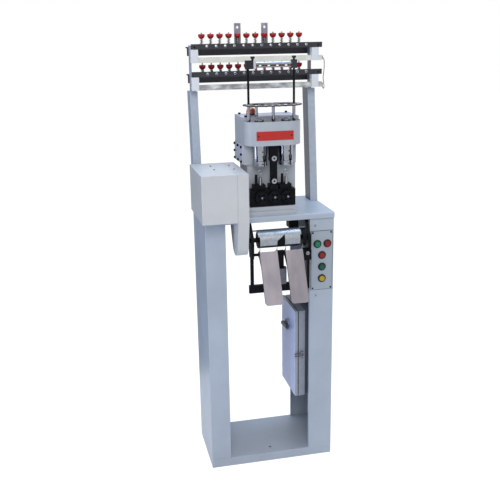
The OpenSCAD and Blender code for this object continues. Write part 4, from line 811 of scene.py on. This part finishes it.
# %% Spacer sleeve and tube caps
SPACER_AT = (0.036, -0.148, 0.712)
SPACER_R, SPACER_H, SLEEVE_T, SLEEVE_EDGE = 15.15, 57.0, 0.6, 0.3
SLEEVE_COLUMNS, CAP_COLUMNS = 48, 32
skin = [(SPACER_R, 0.0), (SPACER_R + SLEEVE_T, SLEEVE_EDGE), (SPACER_R + SLEEVE_T, SPACER_H - SLEEVE_EDGE),
        (SPACER_R, SPACER_H), (SPACER_R, 0.0)]
spacer_sleeve = grid_object("spacer_sleeve", laid(spun(skin, SLEEVE_COLUMNS), [SPACER_AT], UP),
                            "sleeve_plastic", "machine")
TUBE_END_X, TUBE_END_Y = 0.245, 0.073
UPPER_TUBE_Z, LOWER_TUBE_Z = 1.471, 1.378
cap_places = [(TUBE_END_X, TUBE_END_Y, z) for z in (UPPER_TUBE_Z, LOWER_TUBE_Z)]
cap_rows = [(0.0, -1.0), (6.0, -1.0), (6.0, 2.4), (5.4, 3.2), (2.0, 3.6), (0.0, 3.6)]
tube_caps = grid_object("tube_caps", laid(spun(cap_rows, CAP_COLUMNS), cap_places, RIGHT),
                        "spring_steel", "machine")

# %% [markdown]
# ## Washers on the take-up bracket
#
# The black upright between the two cylinders carries two black bolts, each on a bright dished washer:
# one between the cylinders and one lower down, over the take-up. The washers could be flat rings, but
# their sloping rims catch the light, so they are spun from a profile as well.

# %% Bracket washers
bracket_lo, bracket_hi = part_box("centre_bracket")
bracket_x = (bracket_lo.x + bracket_hi.x) / 2
WASHER_Z = (1.149, 1.071)
WASHER_COLUMNS = 40
BRACKET_BOLT_D = 7.2
washer_places = [(bracket_x, bracket_lo.y, z) for z in WASHER_Z]
washer_rows = [(3.6, -0.2), (8.6, -0.2), (9.2, 0.5), (9.0, 1.6), (7.0, 2.1), (3.6, 2.1), (3.6, -0.2)]
washers = grid_object("bracket_washers", laid(spun(washer_rows, WASHER_COLUMNS), washer_places, FRONT),
                      "chrome", "machine")
screws("bracket_bolts", BRACKET_BOLT_D, washer_places, FRONT, "black_steel")

# %% [markdown]
# ## The stop-motion lead
#
# A thin lead joins the ends of the two square tubes on the right. It leaves the upper tube, hangs in
# a slack bow and dips under the lower tube's end before it goes in. It is a real cord, so its route
# is a short list of given points and a smooth curve goes through them. A Bezier curve with a round
# bevel would look the same, but its handles would hide the route and its length.

# %% Lead between the tubes
LEAD_D = 2.5 * MM
LEAD_STEPS, LEAD_SIDES = 6, 10
LEAD_OUT = np.array([0, 4, 8, 9, 8, 6, 5, 7, 9, 8, 5, 3, 2, 0]) * MM
LEAD_FORE = np.array([0, 0, 1, 2, 3, 3, 3, 3, 2, 1, 0, 0, 0, 0]) * MM
LEAD_DOWN = np.array([0, 1, 8, 22, 42, 60, 71, 87, 101, 108, 106, 98, 93, 93]) * MM
lead_points = np.stack([TUBE_END_X + LEAD_OUT, TUBE_END_Y - LEAD_FORE, UPPER_TUBE_Z - LEAD_DOWN], -1)


def smooth_through(points, steps):
    """A cubic through every point whose slope there is half the step to its neighbours."""
    p = np.concatenate([points[:1], points, points[-1:]])
    s = np.arange(steps) / steps
    a, b, c, d = (p[i:len(p) - 3 + i, None] for i in range(4))
    s = s[None, :, None]
    curve = 0.5 * (2 * b + (c - a) * s + (2 * a - 5 * b + 4 * c - d) * s ** 2
                   + (3 * b - a - 3 * c + d) * s ** 3)
    return np.concatenate([curve.reshape(-1, 3), points[-1:]])


lead_path = smooth_through(lead_points, LEAD_STEPS)
lead = grid_object("stop_lead", wire_tube(lead_path, LEAD_D / 2, LEAD_SIDES)[None], "lead_sheath",
                   "machine")
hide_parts("stop_wire")

# %% [markdown]
# ## Floor, light and camera
#
# The picture shows the machine on plain white. The floor and the world are white to the camera and
# to mirror-like surfaces, while the light that falls on the machine stays at a plain level: a large
# soft key lamp from the front and above, a weak bluish one low on the left, a faint one on the right,
# and a bluish one overhead, which gives the tops their cool tone. More lamp light would whiten the
# floor too, but it would bleach the paint with it.

# %% Floor and world
FLOOR_SIZE = 30.0
FLOOR_GREY = (0.85, 0.85, 0.86, 1)
FLOOR_ROUGH = 0.9
FLOOR_GLOW = 1.32
SHADOW_SHARE = 0.3
SKY_TINT, SKY_LEVEL = (0.93, 0.97, 1.03, 1), 0.42
WHITE = (1, 1, 1, 1)


def seen_rays(tree):
    """One for rays from the camera, a mirror or a glass, and zero for rays that carry light."""
    rays = tree.nodes.new("ShaderNodeLightPath")
    seen = rays.outputs["Is Camera Ray"]
    for other in ("Is Glossy Ray", "Is Transmission Ray"):
        both = tree.nodes.new("ShaderNodeMath")
        both.operation = "MAXIMUM"
        tree.links.new(seen, both.inputs[0])
        tree.links.new(rays.outputs[other], both.inputs[1])
        seen = both.outputs[0]
    return seen


def shown_as(tree, factor, lit, seen, output):
    """The lit shader where the factor is zero and the seen one where it is one, on the output."""
    both = tree.nodes.new("ShaderNodeMixShader")
    for place, source in enumerate((factor, lit.outputs[0], seen.outputs[0])):
        tree.links.new(source, both.inputs[place])
    tree.links.new(both.outputs[0], tree.nodes[output].inputs["Surface"])


floor_mesh = bpy.data.meshes.new("floor")
floor_corners = np.pad(SQUARE, ((0, 0), (0, 1))) * FLOOR_SIZE / 2
floor_mesh.from_pydata(floor_corners.tolist(), [], [range(len(SQUARE))])
floor = bpy.data.objects.new("floor", floor_mesh)
bpy.context.scene.collection.objects.link(floor)

pale = bpy.data.materials.new("pale_floor")
pale.use_nodes = True
tree = pale.node_tree
lit = tree.nodes["Principled BSDF"]
lit.inputs["Base Color"].default_value = FLOOR_GREY
lit.inputs["Roughness"].default_value = FLOOR_ROUGH
glow = tree.nodes.new("ShaderNodeEmission")
glow.inputs["Color"].default_value = WHITE
glow.inputs["Strength"].default_value = FLOOR_GLOW
share = tree.nodes.new("ShaderNodeMath")
share.operation = "MULTIPLY"
share.inputs[1].default_value = 1 - SHADOW_SHARE
tree.links.new(seen_rays(tree), share.inputs[0])
shown_as(tree, share.outputs[0], lit, glow, "Material Output")
floor_mesh.materials.append(pale)

world = bpy.data.worlds.new("studio")
bpy.context.scene.world = world
world.use_nodes = True
tree = world.node_tree
sky = tree.nodes["Background"]
sky.inputs["Color"].default_value = SKY_TINT
sky.inputs["Strength"].default_value = SKY_LEVEL
white = tree.nodes.new("ShaderNodeBackground")
white.inputs["Color"].default_value = WHITE
white.inputs["Strength"].default_value = 1.0
shown_as(tree, seen_rays(tree), sky, white, "World Output")
print("floor and world are white to the camera")

# %% Lamps: place (m), size (m), power (W) and colour
AIM = Vector((0.0, 0.0, 0.9))
LAMPS = {
    "key": ((-0.9, -3.6, 3.4), 2.4, 90, (1.0, 0.99, 0.97)),
    "left": ((-3.4, -1.0, 0.9), 1.6, 34, (0.62, 0.76, 1.0)),
    "right": ((3.2, -1.6, 2.0), 2.0, 18, (1.0, 1.0, 1.0)),
    "overhead": ((0.2, 0.3, 4.2), 2.0, 95, (0.55, 0.74, 1.0)),
}


def soft_lamp(name, place, size, watts, colour):
    """A round lamp at a place, facing the middle of the machine."""
    data = bpy.data.lights.new(name, "AREA")
    data.shape = "DISK"
    data.size = size
    data.energy = watts
    data.color = colour
    lamp = bpy.data.objects.new(name, data)
    bpy.context.scene.collection.objects.link(lamp)
    lamp.location = place
    lamp.rotation_euler = (AIM - Vector(place)).to_track_quat("-Z", "Y").to_euler()


for name, lamp in LAMPS.items():
    soft_lamp(name, *lamp)
print("lamps:", len(LAMPS))

# %% [markdown]
# Polished steel only shows what stands around it, and glossy paint seen at a flat angle does too. Dark
# cards, which only reflections see, draw the dark edges that bright cylinders have in a studio
# and keep the white ground out of the machine's left faces.

# %% Dark cards for the reflections
CARD_TOP = 2.6
CARD_BLACK = (0.02, 0.02, 0.025, 1)
CARD_ROUGH = 0.9
CARDS = {
    "left_card": ((-1.92, -0.50), (-1.48, -1.30)),
    "right_card": ((1.92, -0.50), (1.48, -1.30)),
    "behind_card": ((-1.30, 0.70), (-0.20, 0.70)),
}
card_black = bpy.data.materials.new("card_black")
card_black.use_nodes = True
card_shader = card_black.node_tree.nodes["Principled BSDF"]
card_shader.inputs["Base Color"].default_value = CARD_BLACK
card_shader.inputs["Roughness"].default_value = CARD_ROUGH


def dark_card(name, start, end):
    """An upright rectangle over the line from start to end on the floor, for reflections only."""
    mesh = bpy.data.meshes.new(name)
    corners = [(*start, 0), (*end, 0), (*end, CARD_TOP), (*start, CARD_TOP)]
    mesh.from_pydata(corners, [], [range(len(corners))])
    mesh.materials.append(card_black)
    card = bpy.data.objects.new(name, mesh)
    bpy.context.scene.collection.objects.link(card)
    for ray in ("camera", "diffuse", "shadow", "transmission"):
        setattr(card, "visible_" + ray, False)


for name, (start, end) in CARDS.items():
    dark_card(name, start, end)
print("dark cards:", len(CARDS))

# %% [markdown]
# The camera stands in front of the machine and to its left, about as high as the creel. It is
# turned right, tipped down and rolled by about a degree. Its three directions follow from those
# angles, and the columns of its pose are right, up and backwards.

# %% Camera
CAMERA_AT = (-0.61095, -2.5620, 1.56154)
CAMERA_LENS = 53.85
CAMERA_SENSOR = 36.0
YAW, PITCH, ROLL = (math.radians(a) for a in (12.449, 16.239, -0.9525))
right_v = np.array([math.cos(YAW), -math.sin(YAW), 0])
ahead = np.array([math.sin(YAW) * math.cos(PITCH), math.cos(YAW) * math.cos(PITCH), -math.sin(PITCH)])
above = np.array([math.sin(YAW) * math.sin(PITCH), math.cos(YAW) * math.sin(PITCH), math.cos(PITCH)])
tilted_right = right_v * math.cos(ROLL) + above * math.sin(ROLL)
tilted_up = above * math.cos(ROLL) - right_v * math.sin(ROLL)
pose = np.eye(4)
pose[:3] = np.stack([tilted_right, tilted_up, -ahead, CAMERA_AT], -1)
camera_data = bpy.data.cameras.new("camera")
camera_data.lens = CAMERA_LENS
camera_data.sensor_width = CAMERA_SENSOR
camera_data.sensor_fit = "HORIZONTAL"
camera = bpy.data.objects.new("camera", camera_data)
bpy.context.scene.collection.objects.link(camera)
camera.matrix_world = pose.T.tolist()
bpy.context.scene.camera = camera
bpy.context.scene.view_settings.view_transform = "Standard"
print("camera height:", camera.location.z)
